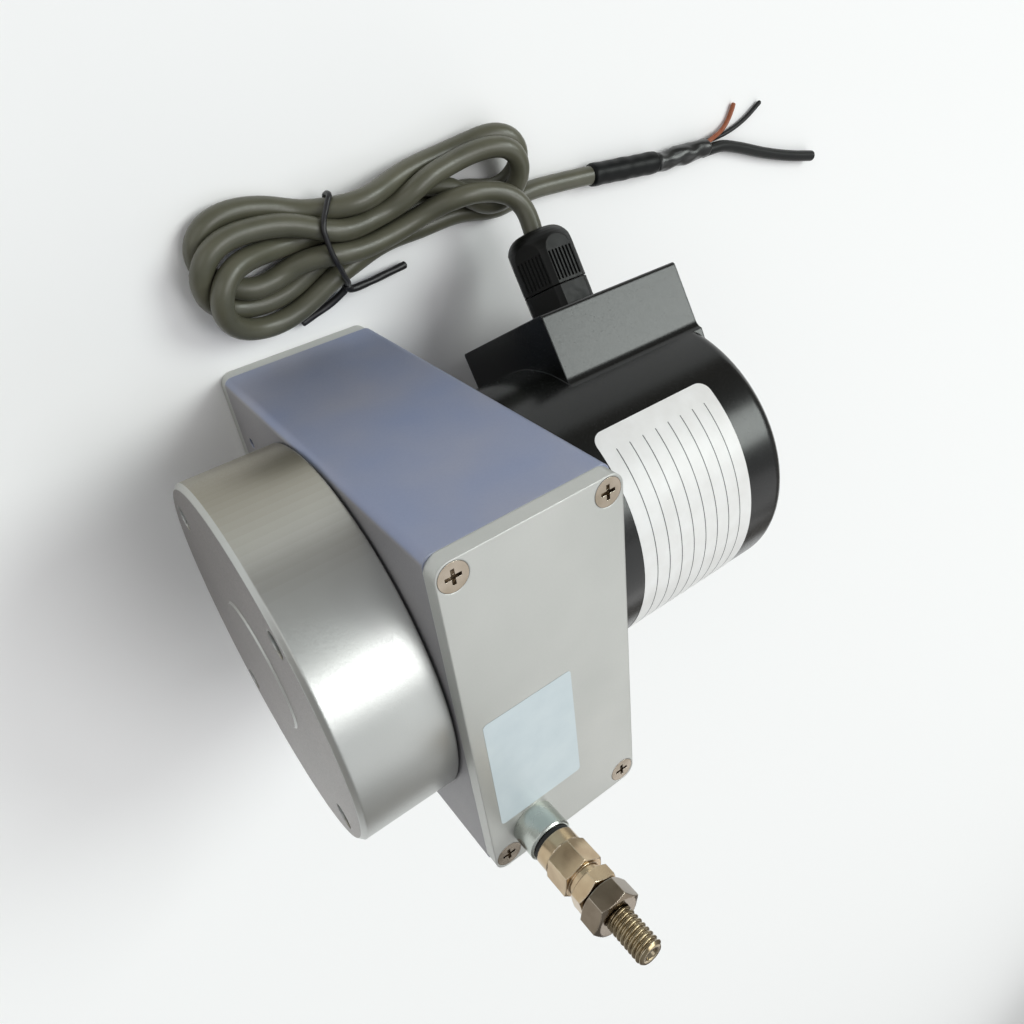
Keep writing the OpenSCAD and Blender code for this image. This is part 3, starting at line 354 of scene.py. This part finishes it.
def smoothPath(points, stepMm, perSpan=12):
    # a rounded line through the points
    p = np.array(points, float)
    p = np.vstack([2 * p[0] - p[1], p, 2 * p[-1] - p[-2]])
    line = []
    for a, b, c, d in zip(p[:-3], p[1:-2], p[2:-1], p[3:]):
        for t in np.linspace(0, 1, perSpan, endpoint=False):
            line.append(0.5 * (2 * b + (c - a) * t + (2 * a - 5 * b + 4 * c - d) * t ** 2
                               + (3 * b - a - 3 * c + d) * t ** 3))
    return evenSteps(np.array(line + [p[-2]]), stepMm)


def easedPath(points, stepMm, perSpan=16):
    # a cubic B-spline: it runs close by the points and evens out their small unevenness
    p = np.array(points, float)
    p = np.vstack([2 * p[0] - p[1], p, 2 * p[-1] - p[-2]])
    line = []
    for a, b, c, d in zip(p[:-3], p[1:-2], p[2:-1], p[3:]):
        for t in np.linspace(0, 1, perSpan, endpoint=False):
            line.append(((1 - t) ** 3 * a + (3 * t ** 3 - 6 * t ** 2 + 4) * b
                         + (-3 * t ** 3 + 3 * t ** 2 + 3 * t + 1) * c + t ** 3 * d) / 6)
    return evenSteps(np.array(line + [p[-2]]), stepMm)


def ringFaces(rings, sides, closed=False):
    # faces from each ring of points to the next, with a cap at both ends unless the last joins the first
    faces = []
    for i in range(rings if closed else rings - 1):
        here, there = i * sides, (i + 1) % rings * sides
        for k in range(sides):
            m = (k + 1) % sides
            faces.append((here + k, here + m, there + m, there + k))
    if not closed:
        faces.append(tuple(range(sides))[::-1])
        faces.append(tuple((rings - 1) * sides + k for k in range(sides)))
    return faces


def sweep(path, radii, sides, closed=False):
    # rings of points carried along the path without twist; radii is one row of radii for each ring
    path = np.asarray(path, float)
    radii = np.asarray(radii, float)
    radii = np.broadcast_to(radii.reshape(len(radii), -1), (len(path), sides))
    ahead = np.roll(path, -1, 0) - np.roll(path, 1, 0)
    if not closed:
        ahead[0], ahead[-1] = path[1] - path[0], path[-1] - path[-2]
    ahead /= np.linalg.norm(ahead, axis=1)[:, None]
    side = np.cross(ahead[0], (0.3, 0.2, 1.0))  # any direction across the path will do to start with
    side /= np.linalg.norm(side)
    points = []
    for i in range(len(path)):
        side = side - ahead[i] * (side @ ahead[i])
        side /= np.linalg.norm(side)
        up = np.cross(ahead[i], side)
        for k in range(sides):
            turn = 2 * math.pi * k / sides
            points.append(path[i] + radii[i, k] * (math.cos(turn) * side + math.sin(turn) * up))
    return points, ringFaces(len(path), sides, closed)


def roundedEnds(path, radius, tipMm, trim=0.55):
    # radii that fall away over the last tipMm at each end, so that an end isn't a sharp disc
    run = np.r_[0, np.cumsum(np.linalg.norm(np.diff(path, axis=0), axis=1))]
    reach = np.minimum(run, run[-1] - run)
    edge = np.clip(1 - reach / tipMm, 0, 1)
    return radius * np.sqrt(np.clip(1 - trim * edge ** 2, 0, 1))


# the cable: from inside the gland, out over the hank, three loops through the tie, and on to the sleeve
cableSet = {
    "diameterMm": 5.0,
    "stepMm": 1.2,
    "roundness": 6,
    "dark": "#4a4a3c",
    "light": "#5a594a",
    "roughness": 0.36,
    "exit": (-61.5, -57.0, 18.3),
    "route": [
        (-61.5, -52.5, 20.9), (-61.5, -56, 18.8), (-62.1, -59.6, 16.8), (-61.8, -63.2, 14.8),
        (-59.2, -66.2, 13.4), (-55.4, -67.7, 12.8), (-51.4, -68.6, 12.6), (-47.3, -68.9, 12.3),
        (-43.4, -68.3, 11), (-40, -67.1, 8.9), (-36.4, -65.7, 7.6), (-32.5, -64.5, 7.1),
        (-28.5, -63.6, 7.1), (-24.5, -63, 7.4), (-20.5, -62.8, 8), (-16.4, -63, 8.6),
        (-12.4, -63.7, 8.6), (-8.4, -63.9, 7.4), (-4.7, -63.1, 5.7), (-1, -61.8, 4.5),
        (2.9, -60.7, 4.6), (7.1, -60.6, 5.1), (10.8, -62, 4), (14, -64.3, 2.6),
        (16.2, -67.9, 2.5), (15.9, -72.1, 2.9), (13.3, -75.4, 3.4), (9.3, -76.9, 3.4),
        (5.2, -77.1, 3), (1.2, -76.6, 2.7), (-2.8, -75.6, 2.7), (-6.6, -74.1, 2.9),
        (-10.5, -73, 4), (-14.1, -72.9, 5.9), (-17.7, -73, 7.8), (-21.8, -73.2, 8.7),
        (-25.8, -73.8, 8.1), (-29.6, -74.6, 6.7), (-33.5, -75.4, 5.7), (-37.4, -76.1, 5.1),
        (-41.5, -76.5, 4.4), (-45.5, -76.8, 3.9), (-49.6, -77.3, 3.7), (-53.6, -77.9, 4.1),
        (-57.5, -78.8, 5), (-61.5, -79.2, 6.2), (-65.4, -77.8, 6.9), (-68, -74.5, 6.6),
        (-68.4, -70.5, 5.4), (-66.5, -67, 3.7), (-62.7, -65.4, 2.7), (-58.6, -65.9, 2.5),
        (-54.6, -67.1, 2.6), (-50.6, -67.6, 2.6), (-46.5, -67.3, 2.6), (-42.4, -66.9, 2.6),
        (-38.3, -66.6, 2.6), (-34.3, -66.5, 2.6), (-30.2, -66.4, 2.6), (-26.1, -66, 2.8),
        (-22.1, -65.2, 3.1), (-18.2, -64.1, 3.6), (-14.2, -63.1, 3.7), (-10.4, -61.7, 3.4),
        (-6.9, -59.6, 3), (-3.3, -57.7, 2.7), (0.6, -56.4, 2.6), (4.7, -56.1, 2.5),
        (8.8, -56.4, 2.6), (12.8, -57.5, 3.1), (16, -59.7, 4.5), (17.7, -63.2, 6.1),
        (17.6, -67.2, 7.4), (15.4, -70.8, 7.9), (11.8, -72.9, 7.8), (7.8, -73.5, 7.4),
        (3.7, -73.4, 7.1), (-0.4, -73.1, 6.9), (-4.4, -72.3, 7.1), (-8.2, -70.9, 7.7),
        (-11.9, -69.2, 8.5), (-15.8, -68.1, 8.7), (-19.9, -67.9, 8), (-23.9, -68.3, 7.2),
        (-28, -69, 7), (-31.7, -70.3, 8.1), (-35, -72.4, 9.5), (-38.7, -74.2, 9.7),
        (-42.7, -75.1, 9.1), (-46.7, -75.7, 8.6), (-50.7, -76.5, 8.6), (-54.7, -77.1, 9.3),
        (-58.7, -77.2, 10.3), (-62.7, -75.9, 10.8), (-65.3, -72.6, 10.4), (-65.7, -68.5, 9.4),
        (-63.7, -64.9, 8.1), (-60, -63.1, 7.3), (-55.9, -63.5, 7.1), (-52.3, -65.6, 7.5),
        (-49.1, -68.2, 7.6), (-45.6, -70.3, 6.7), (-42, -71.3, 5.1), (-38.2, -71.5, 3.5),
        (-34.2, -71.5, 2.7), (-30.1, -71.5, 2.6), (-26, -71.2, 2.8), (-22, -70.4, 3.1),
        (-18.1, -69.3, 3.6), (-14.1, -68.2, 3.7), (-10.1, -67.6, 3.5), (-6, -67.6, 3.5),
        (-2, -67.7, 4.3), (1.9, -67.9, 5.6), (5.7, -68.1, 7.2), (9.5, -67.9, 8.8),
        (13.1, -66.3, 10.3), (15.6, -62.9, 10.8), (16, -58.9, 9.7), (14.5, -55.4, 7.8),
        (11.7, -53, 5.9), (8.1, -51.5, 4.6), (4.1, -50.9, 3.8), (0, -51.3, 3.4),
        (-3.9, -52.5, 3.4), (-7.6, -54.3, 3.7), (-11.1, -56.4, 4.2), (-14.8, -58, 4.4),
        (-18.8, -59.1, 4), (-22.7, -60.1, 3.3), (-26.6, -60.9, 2.8), (-30.7, -61.4, 2.6),
        (-34.8, -61.5, 2.6), (-38.9, -61.6, 2.6), (-43, -62, 2.6), (-47, -62.3, 2.6),
        (-51.1, -62.2, 2.6), (-55.2, -61.5, 2.6), (-59.2, -60.6, 2.6), (-63.3, -60.6, 2.6),
        (-67.3, -61.4, 2.6), (-71.3, -62, 2.6), (-75.4, -62.2, 2.6), (-79.5, -62, 2.6),
        (-83.6, -61.8, 2.7), (-87.7, -61.6, 2.8), (-91.8, -61.4, 3), (-95.9, -61.1, 3.2),
        (-99.9, -60.7, 3.2), (-104, -60.4, 3.2),
    ],
}


def extrudedPvc(name, dark, light, roughness):
    # extruded PVC: warm grey, a soft sheen and a slight orange peel, scuffed a little paler in places
    material, tree, shader, place = newMaterial(name, roughness, Specular_IOR_Level=0.5)
    shade(tree, shader, grain(tree, place, sizeMm=9.0), dark, light)
    fine = grain(tree, place, sizeMm=0.5)
    roughen(tree, shader, fine, roughness, less=0.06)
    bump(tree, shader, fine, depthMm=0.01, strength=0.5)
    return material


def makeCable(setup):
    curve = bpy.data.curves.new("cable", "CURVE")
    curve.dimensions = "3D"
    curve.bevel_depth = setup["diameterMm"] / 2 * mm
    curve.bevel_resolution = setup["roundness"]
    curve.use_fill_caps = True
    line = easedPath(setup["route"], setup["stepMm"])
    spline = curve.splines.new("POLY")
    spline.points.add(len(line) - 1)
    for point, place in zip(spline.points, line):
        point.co = (*(c * mm for c in place), 1)
    spline.use_smooth = True
    curve.materials.append(extrudedPvc("warmGreyPvc", setup["dark"], setup["light"], setup["roughness"]))
    piece = bpy.data.objects.new("cable_run", curve)
    bpy.context.scene.collection.objects.link(piece)
    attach(piece, "body")
    return piece


cable = makeCable(cableSet)
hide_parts("cable", "cable_hank", "cable_tail")
print("cable laid")

# the wire tie: one turn of coated wire round the waist of the hank, its two ends twisted and left long
tieSet = {
    "finish": dict(dark="#131314", light="#1c1b1e", roughness=0.4, grainMm=0.3, depthMm=0.01),
    "wireR": 0.65, "ringStepMm": 0.6, "ringSides": 12,
    "ring": [
        (-15.3, -76.1, 5.8), (-15.3, -75.4, 4.3), (-15.5, -74.0, 3.3), (-15.5, -72.6, 2.4),
        (-15.6, -71.2, 1.4), (-15.6, -69.6, 0.7), (-15.6, -67.9, 0.7), (-15.6, -66.2, 0.7),
        (-15.6, -64.5, 0.7), (-15.6, -62.8, 0.7), (-15.6, -61.1, 0.9), (-15.6, -59.4, 1.0),
        (-15.6, -57.7, 1.2), (-15.6, -56.2, 1.9), (-15.6, -55.2, 3.2), (-15.5, -55.0, 4.8),
        (-15.2, -55.6, 6.3), (-14.6, -56.7, 7.4), (-13.9, -58.0, 8.3), (-13.2, -59.3, 9.2),
        (-12.6, -60.6, 10.1), (-11.9, -61.8, 11.0), (-11.3, -63.4, 11.4), (-10.9, -65.0, 11.4),
        (-10.6, -66.7, 11.4), (-10.4, -68.4, 11.4), (-10.3, -70.1, 11.3), (-10.9, -71.6, 10.8),
        (-11.8, -72.7, 9.9), (-12.9, -73.8, 9.1), (-13.9, -74.9, 8.3), (-15.0, -76.0, 7.5),
    ],
    "endR": 0.92, "endStepMm": 0.25, "endSides": 16, "endTipMm": 0.3,
    "lobeDepth": 0.03, "twistPerStep": 0.12,
    "ends": {
        "tie_long_end": [
            (-15.6, -54.6, 4.4), (-15.9, -53.6, 4.0), (-17.2, -53.0, 3.6), (-22.0, -53.0, 3.0),
            (-33.2, -53.8, 1.8)],
        "tie_short_end": [
            (-15.8, -54.8, 3.6), (-15.6, -53.6, 3.0), (-14.6, -52.4, 2.4), (-10.9, -50.5, 1.8),
            (-3.1, -48.1, 1.3)],
    },
}


def makeTie(setup):
    finish = mouldedPlastic("blackCoatedWire", **setup["finish"])
    ring = smoothPath(setup["ring"] + setup["ring"][:1], setup["ringStepMm"])[:-1]
    shape = sweep(ring, [setup["wireR"]], setup["ringSides"], closed=True)
    pieces = [newPiece("tie_ring", *shape, finish, "tie_plastic")]
    around = np.linspace(0, 2 * math.pi, setup["endSides"], endpoint=False)[None]
    for name, points in setup["ends"].items():
        path = smoothPath(points, setup["endStepMm"])
        turns = np.arange(len(path))[:, None] * setup["twistPerStep"]
        lobes = 1 + setup["lobeDepth"] * np.cos(2 * (around - turns))
        radii = roundedEnds(path, setup["endR"], setup["endTipMm"])[:, None] * lobes
        pieces.append(newPiece(name, *sweep(path, radii, setup["endSides"]), finish, "tie_plastic"))
    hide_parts("cable_tie")
    return pieces


tiePieces = makeTie(tieSet)
print("tie pulled round the hank")

# the heat-shrink sleeve on the end of the cable
sleeveSet = {
    "start": (-93.5, -61.3, 3.2), "end": (-118.4, -59.2, 3.2), "radius": 3.2, "stepMm": 0.5, "sides": 28,
    "dark": "#080a0a", "light": "#0e1111", "roughness": 0.42,
    "slack": 0.16, "ripple": 0.1, "rippleTurns": (23, 7.3), "mouthDip": 0.12, "mouthFall": 30,
    "startTrim": 0.45, "endTrim": 0.5,
}


def shrunkSleeve(name, dark, light, roughness):
    # polyolefin shrunk by hot air: satin black, with shallow rings where it gripped
    material, tree, shader, place = newMaterial(name, roughness, Specular_IOR_Level=0.18)
    shade(tree, shader, grain(tree, place, sizeMm=3.0), dark, light)
    rings = grain(tree, place, sizeMm=1.6, detail=2.0, stretch=(1, 0.35, 0.35))
    bump(tree, shader, rings, depthMm=0.05, strength=0.5)
    return material


def makeSleeve(setup):
    path = smoothPath([setup["start"], setup["end"]], setup["stepMm"])
    run = np.linspace(0, 1, len(path))
    first, second = setup["rippleTurns"]
    ripple = setup["ripple"] * np.sin(run * first) * np.sin(run * second + 1)
    dip = setup["mouthDip"] * np.exp(-run * setup["mouthFall"])
    radii = setup["radius"] - setup["slack"] + ripple - dip
    radii[0] -= setup["startTrim"]
    radii[-1] -= setup["endTrim"]
    finish = shrunkSleeve("shrunkPolyolefin", setup["dark"], setup["light"], setup["roughness"])
    piece = newPiece("shrink_tube", *sweep(path, radii, setup["sides"]), finish, "black_sleeve")
    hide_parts("shrink_sleeve")
    return piece


# the wrapped joint beyond the sleeve; each fold is a wave with so many turns round it and along it
jointSet = {
    "path": [(-118.2, -59.2, 3.2), (-122, -58.6, 3.15), (-127, -58.9, 3.1), (-132, -58.5, 3.05),
             (-136.5, -58.7, 3.0), (-140.6, -58.5, 2.8)],
    "radius": 3.0, "stepMm": 0.35, "sides": 32, "dark": "#151616", "light": "#333433", "roughness": 0.3,
    "foldDepth": 0.24, "folds": ((2, 9), (1, 13), (4, -15)), "fineFold": 0.45, "foldShare": 0.6,
    "endTaper": 0.35, "endShare": 0.06, "waist": 0.06, "waistTurns": 9,
}


def crumpledSleeve(name, dark, light, roughness):
    # thin sleeve heated until it crumpled: creased, with a painted sheen that is paler where the creases
    # rise
    material, tree, shader, place = newMaterial(name, roughness)
    creases = grain(tree, place, sizeMm=3.2, stretch=(0.4, 1, 1))
    # painted sheen: the colour is paler on the crests of the same creases that the bump raises
    shade(tree, shader, creases, dark, light, low=0.46, high=0.72)
    bump(tree, shader, creases, depthMm=0.3, strength=0.7)
    return material


def makeJoint(setup):
    path = smoothPath(setup["path"], setup["stepMm"])
    around = np.linspace(0, 2 * math.pi, setup["sides"], endpoint=False)[None]
    run = np.linspace(0, 1, len(path))[:, None]
    wide, cross, fine = (np.sin(turns * around + along * run) for turns, along in setup["folds"])
    folds = wide * cross + setup["fineFold"] * fine
    nearEnd = np.clip(1 - np.minimum(run, 1 - run) / setup["endShare"], 0, 1)
    radii = setup["radius"] - setup["foldDepth"] + setup["foldDepth"] * setup["foldShare"] * folds
    radii = radii * (1 - setup["endTaper"] * nearEnd ** 2)
    radii = radii * (1 - setup["waist"] * np.sin(setup["waistTurns"] * run))
    finish = crumpledSleeve("crumpledSleeve", setup["dark"], setup["light"], setup["roughness"])
    piece = newPiece("wrapped_joint", *sweep(path, radii, setup["sides"]), finish, "black_sleeve")
    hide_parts("lead_joint")
    return piece


# the three leads that come out of the joint
leadSet = {
    "stepMm": 0.4, "sides": 20, "tipMm": 0.35,
    "finish": dict(roughness=0.42, grainMm=0.4, depthMm=0.006, Specular_IOR_Level=0.3),
    "leads": {
        "orange": {
            "radius": 0.7, "dark": "#86472c", "light": "#995a3c", "slot": "orange_insulation",
            "path": [(-138.5, -59.6, 3.5), (-143.9, -60.7, 2.6), (-148.3, -61.6, 1.5), (-151.4, -63.4, 0.9),
                     (-153.1, -65.7, 0.8), (-154.2, -68.1, 0.8)]},
        "black": {
            "radius": 0.7, "dark": "#0b0b0c", "light": "#131415", "slot": "black_insulation",
            "path": [(-138.5, -59.7, 1.5), (-142, -59.8, 1.2), (-147, -59.8, 0.9), (-153, -60.6, 0.85),
                     (-159.5, -62.6, 0.85), (-166.3, -66.2, 0.85)]},
        "thick": {
            "radius": 1.7, "dark": "#0c0e0e", "light": "#151717", "slot": "black_insulation",
            "path": [(-138.5, -57.5, 2.8), (-143.5, -57.5, 2.5), (-149, -57, 2.1), (-157, -54.7, 1.82),
                     (-169, -50.6, 1.8), (-182, -46.9, 1.8), (-193.8, -44.25, 1.8)]},
    },
}


def makeLeads(setup):
    pieces = []
    for name, lead in setup["leads"].items():
        finish = mouldedPlastic(name + "Insulation", lead["dark"], lead["light"], **setup["finish"])
        path = smoothPath(lead["path"], setup["stepMm"])
        radii = roundedEnds(path, lead["radius"], setup["tipMm"])
        piece = newPiece("lead_" + name + "_run", *sweep(path, radii, setup["sides"]), finish, lead["slot"])
        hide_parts("lead_" + name)
        pieces.append(piece)
    return pieces


sleeve = makeSleeve(sleeveSet)
joint = makeJoint(jointSet)
leads = makeLeads(leadSet)


def curveLength(piece):
    # the length of the smooth centreline as Blender evaluates it, in metres
    bare = piece.copy()
    bare.data = piece.data.copy()
    bare.data.bevel_depth = 0
    bpy.context.scene.collection.objects.link(bare)
    mesh = bare.evaluated_get(bpy.context.evaluated_depsgraph_get()).to_mesh()
    points = [v.co.copy() for v in mesh.vertices]
    total = sum((b - a).length for a, b in zip(points[:-1], points[1:]))
    bpy.data.objects.remove(bare)
    return total


cableLength = curveLength(cable)
print("cable length %.3f m" % cableLength)

# paper label round the encoder, bare but for the plain rules of an unfilled form, and the bare film
# on the top plate
labelSet = {
    "axis": (-1.2, 50.5), "radius": 34.72, "x": (-69.0, -34.6), "angle": (33.0, 148.0), "cornerMm": 3.0,
    "bedMm": 0.06, "thickMm": 0.06, "rows": 90, "paper": ("#e8e8e7", "#dedddb", 0.4),
    "rulesX": (-65.2, -61.4, -57.6, -53.8, -50.0, -46.2, -42.4, -38.6), "ruleMm": 0.22, "marginMm": 5.0,
    "ruleCornerMm": 0.05, "ruleThickMm": 0.075, "ink": ("#4a4c50", "#3c3e42", 0.5),
}
stickerSet = {
    "z": 96.0, "x": (-4.4, 16.4), "y": (-3.0, 28.0), "cornerMm": 0.9, "thickMm": 0.06, "rows": 12,
    "film": ("#c5d0d4", "#bdc9ce", 0.34),
}


def coatedPaper(name, light, dark, roughness):
    # calendered paper or film: nearly flat, with a faint fibre mottle
    material, tree, shader, place = newMaterial(name, roughness)
    shade(tree, shader, grain(tree, place, sizeMm=5.0), dark, light)
    bump(tree, shader, grain(tree, place, sizeMm=0.6, detail=2.0), depthMm=0.006, strength=0.4)
    return material


def roundedOutline(low, high, corner, steps=8):
    # the outline of a rectangle with rounded corners, counterclockwise
    points = []
    corners = ((high[0], high[1], 0), (low[0], high[1], 90), (low[0], low[1], 180), (high[0], low[1], 270))
    for cx, cy, start in corners:
        inX = corner if cx == low[0] else -corner
        inY = corner if cy == low[1] else -corner
        for k in range(steps + 1):
            turn = math.radians(start + 90 * k / steps)
            points.append((cx + inX + corner * math.cos(turn), cy + inY + corner * math.sin(turn)))
    return points


def filmSheet(name, low, high, corner, rows, place, finish, lift):
    # a thin sheet with rounded corners, built as rows across it so that it can be wrapped on a curve
    outline = np.array(roundedOutline(low, high, corner))
    across = np.unique(np.r_[np.linspace(low[1], high[1], rows), outline[:, 1]].round(4))
    points, faces = [], []
    for v in across:
        edge = min(v - low[1], high[1] - v)
        inset = corner - math.sqrt(max(corner ** 2 - (corner - edge) ** 2, 0)) if edge < corner else 0
        for side in (0, lift):
            for u in (low[0] + inset, high[0] - inset):
                points.append(place(u, v, side))
    for i in range(len(across) - 1):
        a, b = 4 * i, 4 * (i + 1)
        faces += [(a, b, b + 1, a + 1), (a + 2, a + 3, b + 3, b + 2),
                  (a, a + 2, b + 2, b), (a + 1, b + 1, b + 3, a + 3)]
    last = 4 * (len(across) - 1)
    faces += [(0, 1, 3, 2), (last, last + 2, last + 3, last + 1)]
    return newPiece(name, points, faces, finish, "tie_plastic", smooth=False)


def makeLabel(setup):
    def wrap(u, v, lift):
        turn = v / setup["radius"]
        reach = setup["radius"] - setup["bedMm"] + lift
        return (u, setup["axis"][0] + reach * math.cos(turn), setup["axis"][1] + reach * math.sin(turn))

    arc = [math.radians(a) * setup["radius"] for a in setup["angle"]]
    paper = coatedPaper("whiteCoatedPaper", *setup["paper"])
    ink = coatedPaper("greyFormRule", *setup["ink"])
    filmSheet("encoder_label", (setup["x"][0], arc[0]), (setup["x"][1], arc[1]), setup["cornerMm"],
              setup["rows"], wrap, paper, setup["thickMm"])
    for count, x in enumerate(setup["rulesX"]):
        filmSheet("label_rule_%d" % count, (x, arc[0] + setup["marginMm"]),
                  (x + setup["ruleMm"], arc[1] - setup["marginMm"]), setup["ruleCornerMm"],
                  setup["rows"], wrap, ink, setup["ruleThickMm"])


def makeSticker(setup):
    def flat(u, v, lift):
        return (u, v, setup["z"] + lift)

    film = coatedPaper("paleBlueFilm", *setup["film"])
    filmSheet("plate_sticker", (setup["x"][0], setup["y"][0]), (setup["x"][1], setup["y"][1]),
              setup["cornerMm"], setup["rows"], flat, film, setup["thickMm"])


makeLabel(labelSet)
makeSticker(stickerSet)
print("labels on")

# the threaded stud: one rolled thread, a chamfered tip and a blind hole in its end
studSet = {
    "axis": (9.1, 33.814), "bottom": 108.6, "threadFrom": 121.6, "top": 131.7, "sides": 48,
    "crestR": 2.93, "rootR": 2.46, "pitch": 1.0, "rowsPerPitch": 10, "rootFlat": 0.16, "flank": 0.62,
    "chamfer": 0.6, "holeR": 1.25, "holeDepth": 3.2, "mouthWiden": 0.18, "mouthDepth": 0.2,
    "drillPointR": 0.05, "drillPoint": 0.7,
}


def threadHeight(setup, phase):
    # 0 at the root and 1 at the crest, with short flats and 60 degree flanks
    wave = 1 - abs(2 * (phase % 1) - 1)
    return min(1, max(0, (wave - setup["rootFlat"]) / setup["flank"]))


def threadRadius(setup, z, share):
    # the radius of the stud at one height, a share of a turn round from the start
    if z <= setup["bottom"]:
        return setup["rootR"]
    depth = threadHeight(setup, z / setup["pitch"] - share)
    radius = setup["rootR"] + (setup["crestR"] - setup["rootR"]) * depth
    return min(radius, setup["crestR"] - setup["chamfer"] + max(0, setup["top"] - z))


def makeStud(setup):
    (x, y), sides, top, holeR = setup["axis"], setup["sides"], setup["top"], setup["holeR"]
    floor = top - setup["holeDepth"]
    threaded = list(np.arange(setup["threadFrom"], top - 1e-6, setup["pitch"] / setup["rowsPerPitch"]))
    rings = [(z, [threadRadius(setup, z, k / sides) for k in range(sides)])
             for z in [setup["bottom"]] + threaded + [top]]
    rings += [(z, [radius] * sides) for z, radius in (
        (top, holeR + setup["mouthWiden"]), (top - setup["mouthDepth"], holeR),
        (floor, holeR), (floor - setup["drillPoint"], setup["drillPointR"]))]
    points = []
    for z, radii in rings:
        for k, radius in enumerate(radii):
            turn = 2 * math.pi * k / sides
            points.append((x + radius * math.cos(turn), y + radius * math.sin(turn), z))
    piece = newPiece("threaded_stud", points, ringFaces(len(rings), sides),
                     skins["nickelPlatedThread"], "fitting_nickel", "wire_end")
    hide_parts("stud")


makeStud(studSet)
print("stud threaded")

# the wire runs from the drum up through the nozzle to its ferrule, and pays out as the end is pulled
wireSet = {"radius": 0.4, "strands": 6, "strandDepth": 0.12, "layMm": 6.0, "rings": 220, "sides": 24}


def makeWire(setup):
    low, high = (np.array(corner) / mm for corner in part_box("wire_lead"))
    x, y = (low[:2] + high[:2]) / 2
    heights = np.linspace(low[2], high[2], setup["rings"])
    around = np.linspace(0, 2 * math.pi, setup["sides"], endpoint=False)[None]
    lobes = np.cos(setup["strands"] * (around - heights[:, None] * 2 * math.pi / setup["layMm"]))
    radii = setup["radius"] * (1 - setup["strandDepth"] * (0.5 + 0.5 * lobes))
    shape = sweep([(x, y, z) for z in heights], radii, setup["sides"])
    wire = newPiece("drawn_wire", *shape, skins["strandedSteelWire"], "wire_steel", None)
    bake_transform(wire)
    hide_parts("wire_lead")


makeWire(wireSet)
print("wire drawn")

# a wide pale floor, a soft room and six round softboxes, in metres: key lays one bright band on the
# turned wall, side lights the housing's end wall, and far keeps the floor pale a long way out
stageSet = {
    "floor": {"size": 30.0, "below": 0.0002, "hex": "#f4f4f4", "roughness": 0.9},
    "room": {"topHex": "#fafdff", "sideHex": "#aaa298", "sideAt": 0.05, "topAt": 0.85, "strength": 0.46},
    "lamps": {
        "key": {"place": (-1.0, -0.6, 4.0), "size": 2.0, "watts": 43.0},
        "side": {"place": (-3.5, -1.8, 4.0), "size": 2.5, "watts": 122.0, "hexColour": "#f5fcf8"},
        "wide": {"place": (-2.3, -1.1, 3.8), "size": 5.0, "watts": 8.0},
        "far": {"place": (-4.6, 8.4, 3.5), "target": (-4.6, 8.4, 0), "size": 5.0, "watts": 80.0},
        "fill": {"place": (2.1, -1.5, 1.35), "size": 2.4, "watts": 12.0},
        "back": {"place": (-1.7, 2.1, 2.9), "size": 3.2, "watts": 20.0},
    },
}


def areaLamp(name, place, size, watts, target=(0, 0, 0.05), hexColour="#ffffff"):
    data = bpy.data.lights.new(name, "AREA")
    data.shape = "DISK"
    data.size = size
    data.energy = watts
    data.color = toLinear(hexColour)[:3]
    lamp = bpy.data.objects.new(name, data)
    lamp.location = place
    lamp.rotation_euler = (Vector(target) - Vector(place)).to_track_quat("-Z", "Y").to_euler()
    bpy.context.scene.collection.objects.link(lamp)


def makeFloor(setup):
    bpy.ops.mesh.primitive_plane_add(size=setup["size"], location=(0, 0, -setup["below"]))
    floor = bpy.context.object
    floor.name = "floor"
    material, _, shader, _ = newMaterial("paleFloor", setup["roughness"])
    shader.inputs["Base Color"].default_value = toLinear(setup["hex"])
    floor.data.materials.append(material)


def makeRoom(setup):
    # bright overhead, a warmer and darker grey towards the walls
    world = bpy.data.worlds.new("softRoom")
    world.use_nodes = True
    bpy.context.scene.world = world
    tree = world.node_tree
    sky = tree.nodes["Background"]
    direction = addNode(tree, "ShaderNodeTexCoord").outputs["Generated"]
    rise = addNode(tree, "ShaderNodeSeparateXYZ", None, {0: direction}).outputs["Z"]
    ramp = addNode(tree, "ShaderNodeValToRGB", None, {"Fac": rise})
    low, high = ramp.color_ramp.elements
    low.position, high.position = setup["sideAt"], setup["topAt"]
    low.color, high.color = toLinear(setup["sideHex"]), toLinear(setup["topHex"])
    tree.links.new(ramp.outputs["Color"], sky.inputs["Color"])
    sky.inputs["Strength"].default_value = setup["strength"]


makeFloor(stageSet["floor"])
makeRoom(stageSet["room"])
for name, values in stageSet["lamps"].items():
    areaLamp(name, **values)
bpy.context.scene.view_settings.view_transform = "Standard"
print("stage ready")
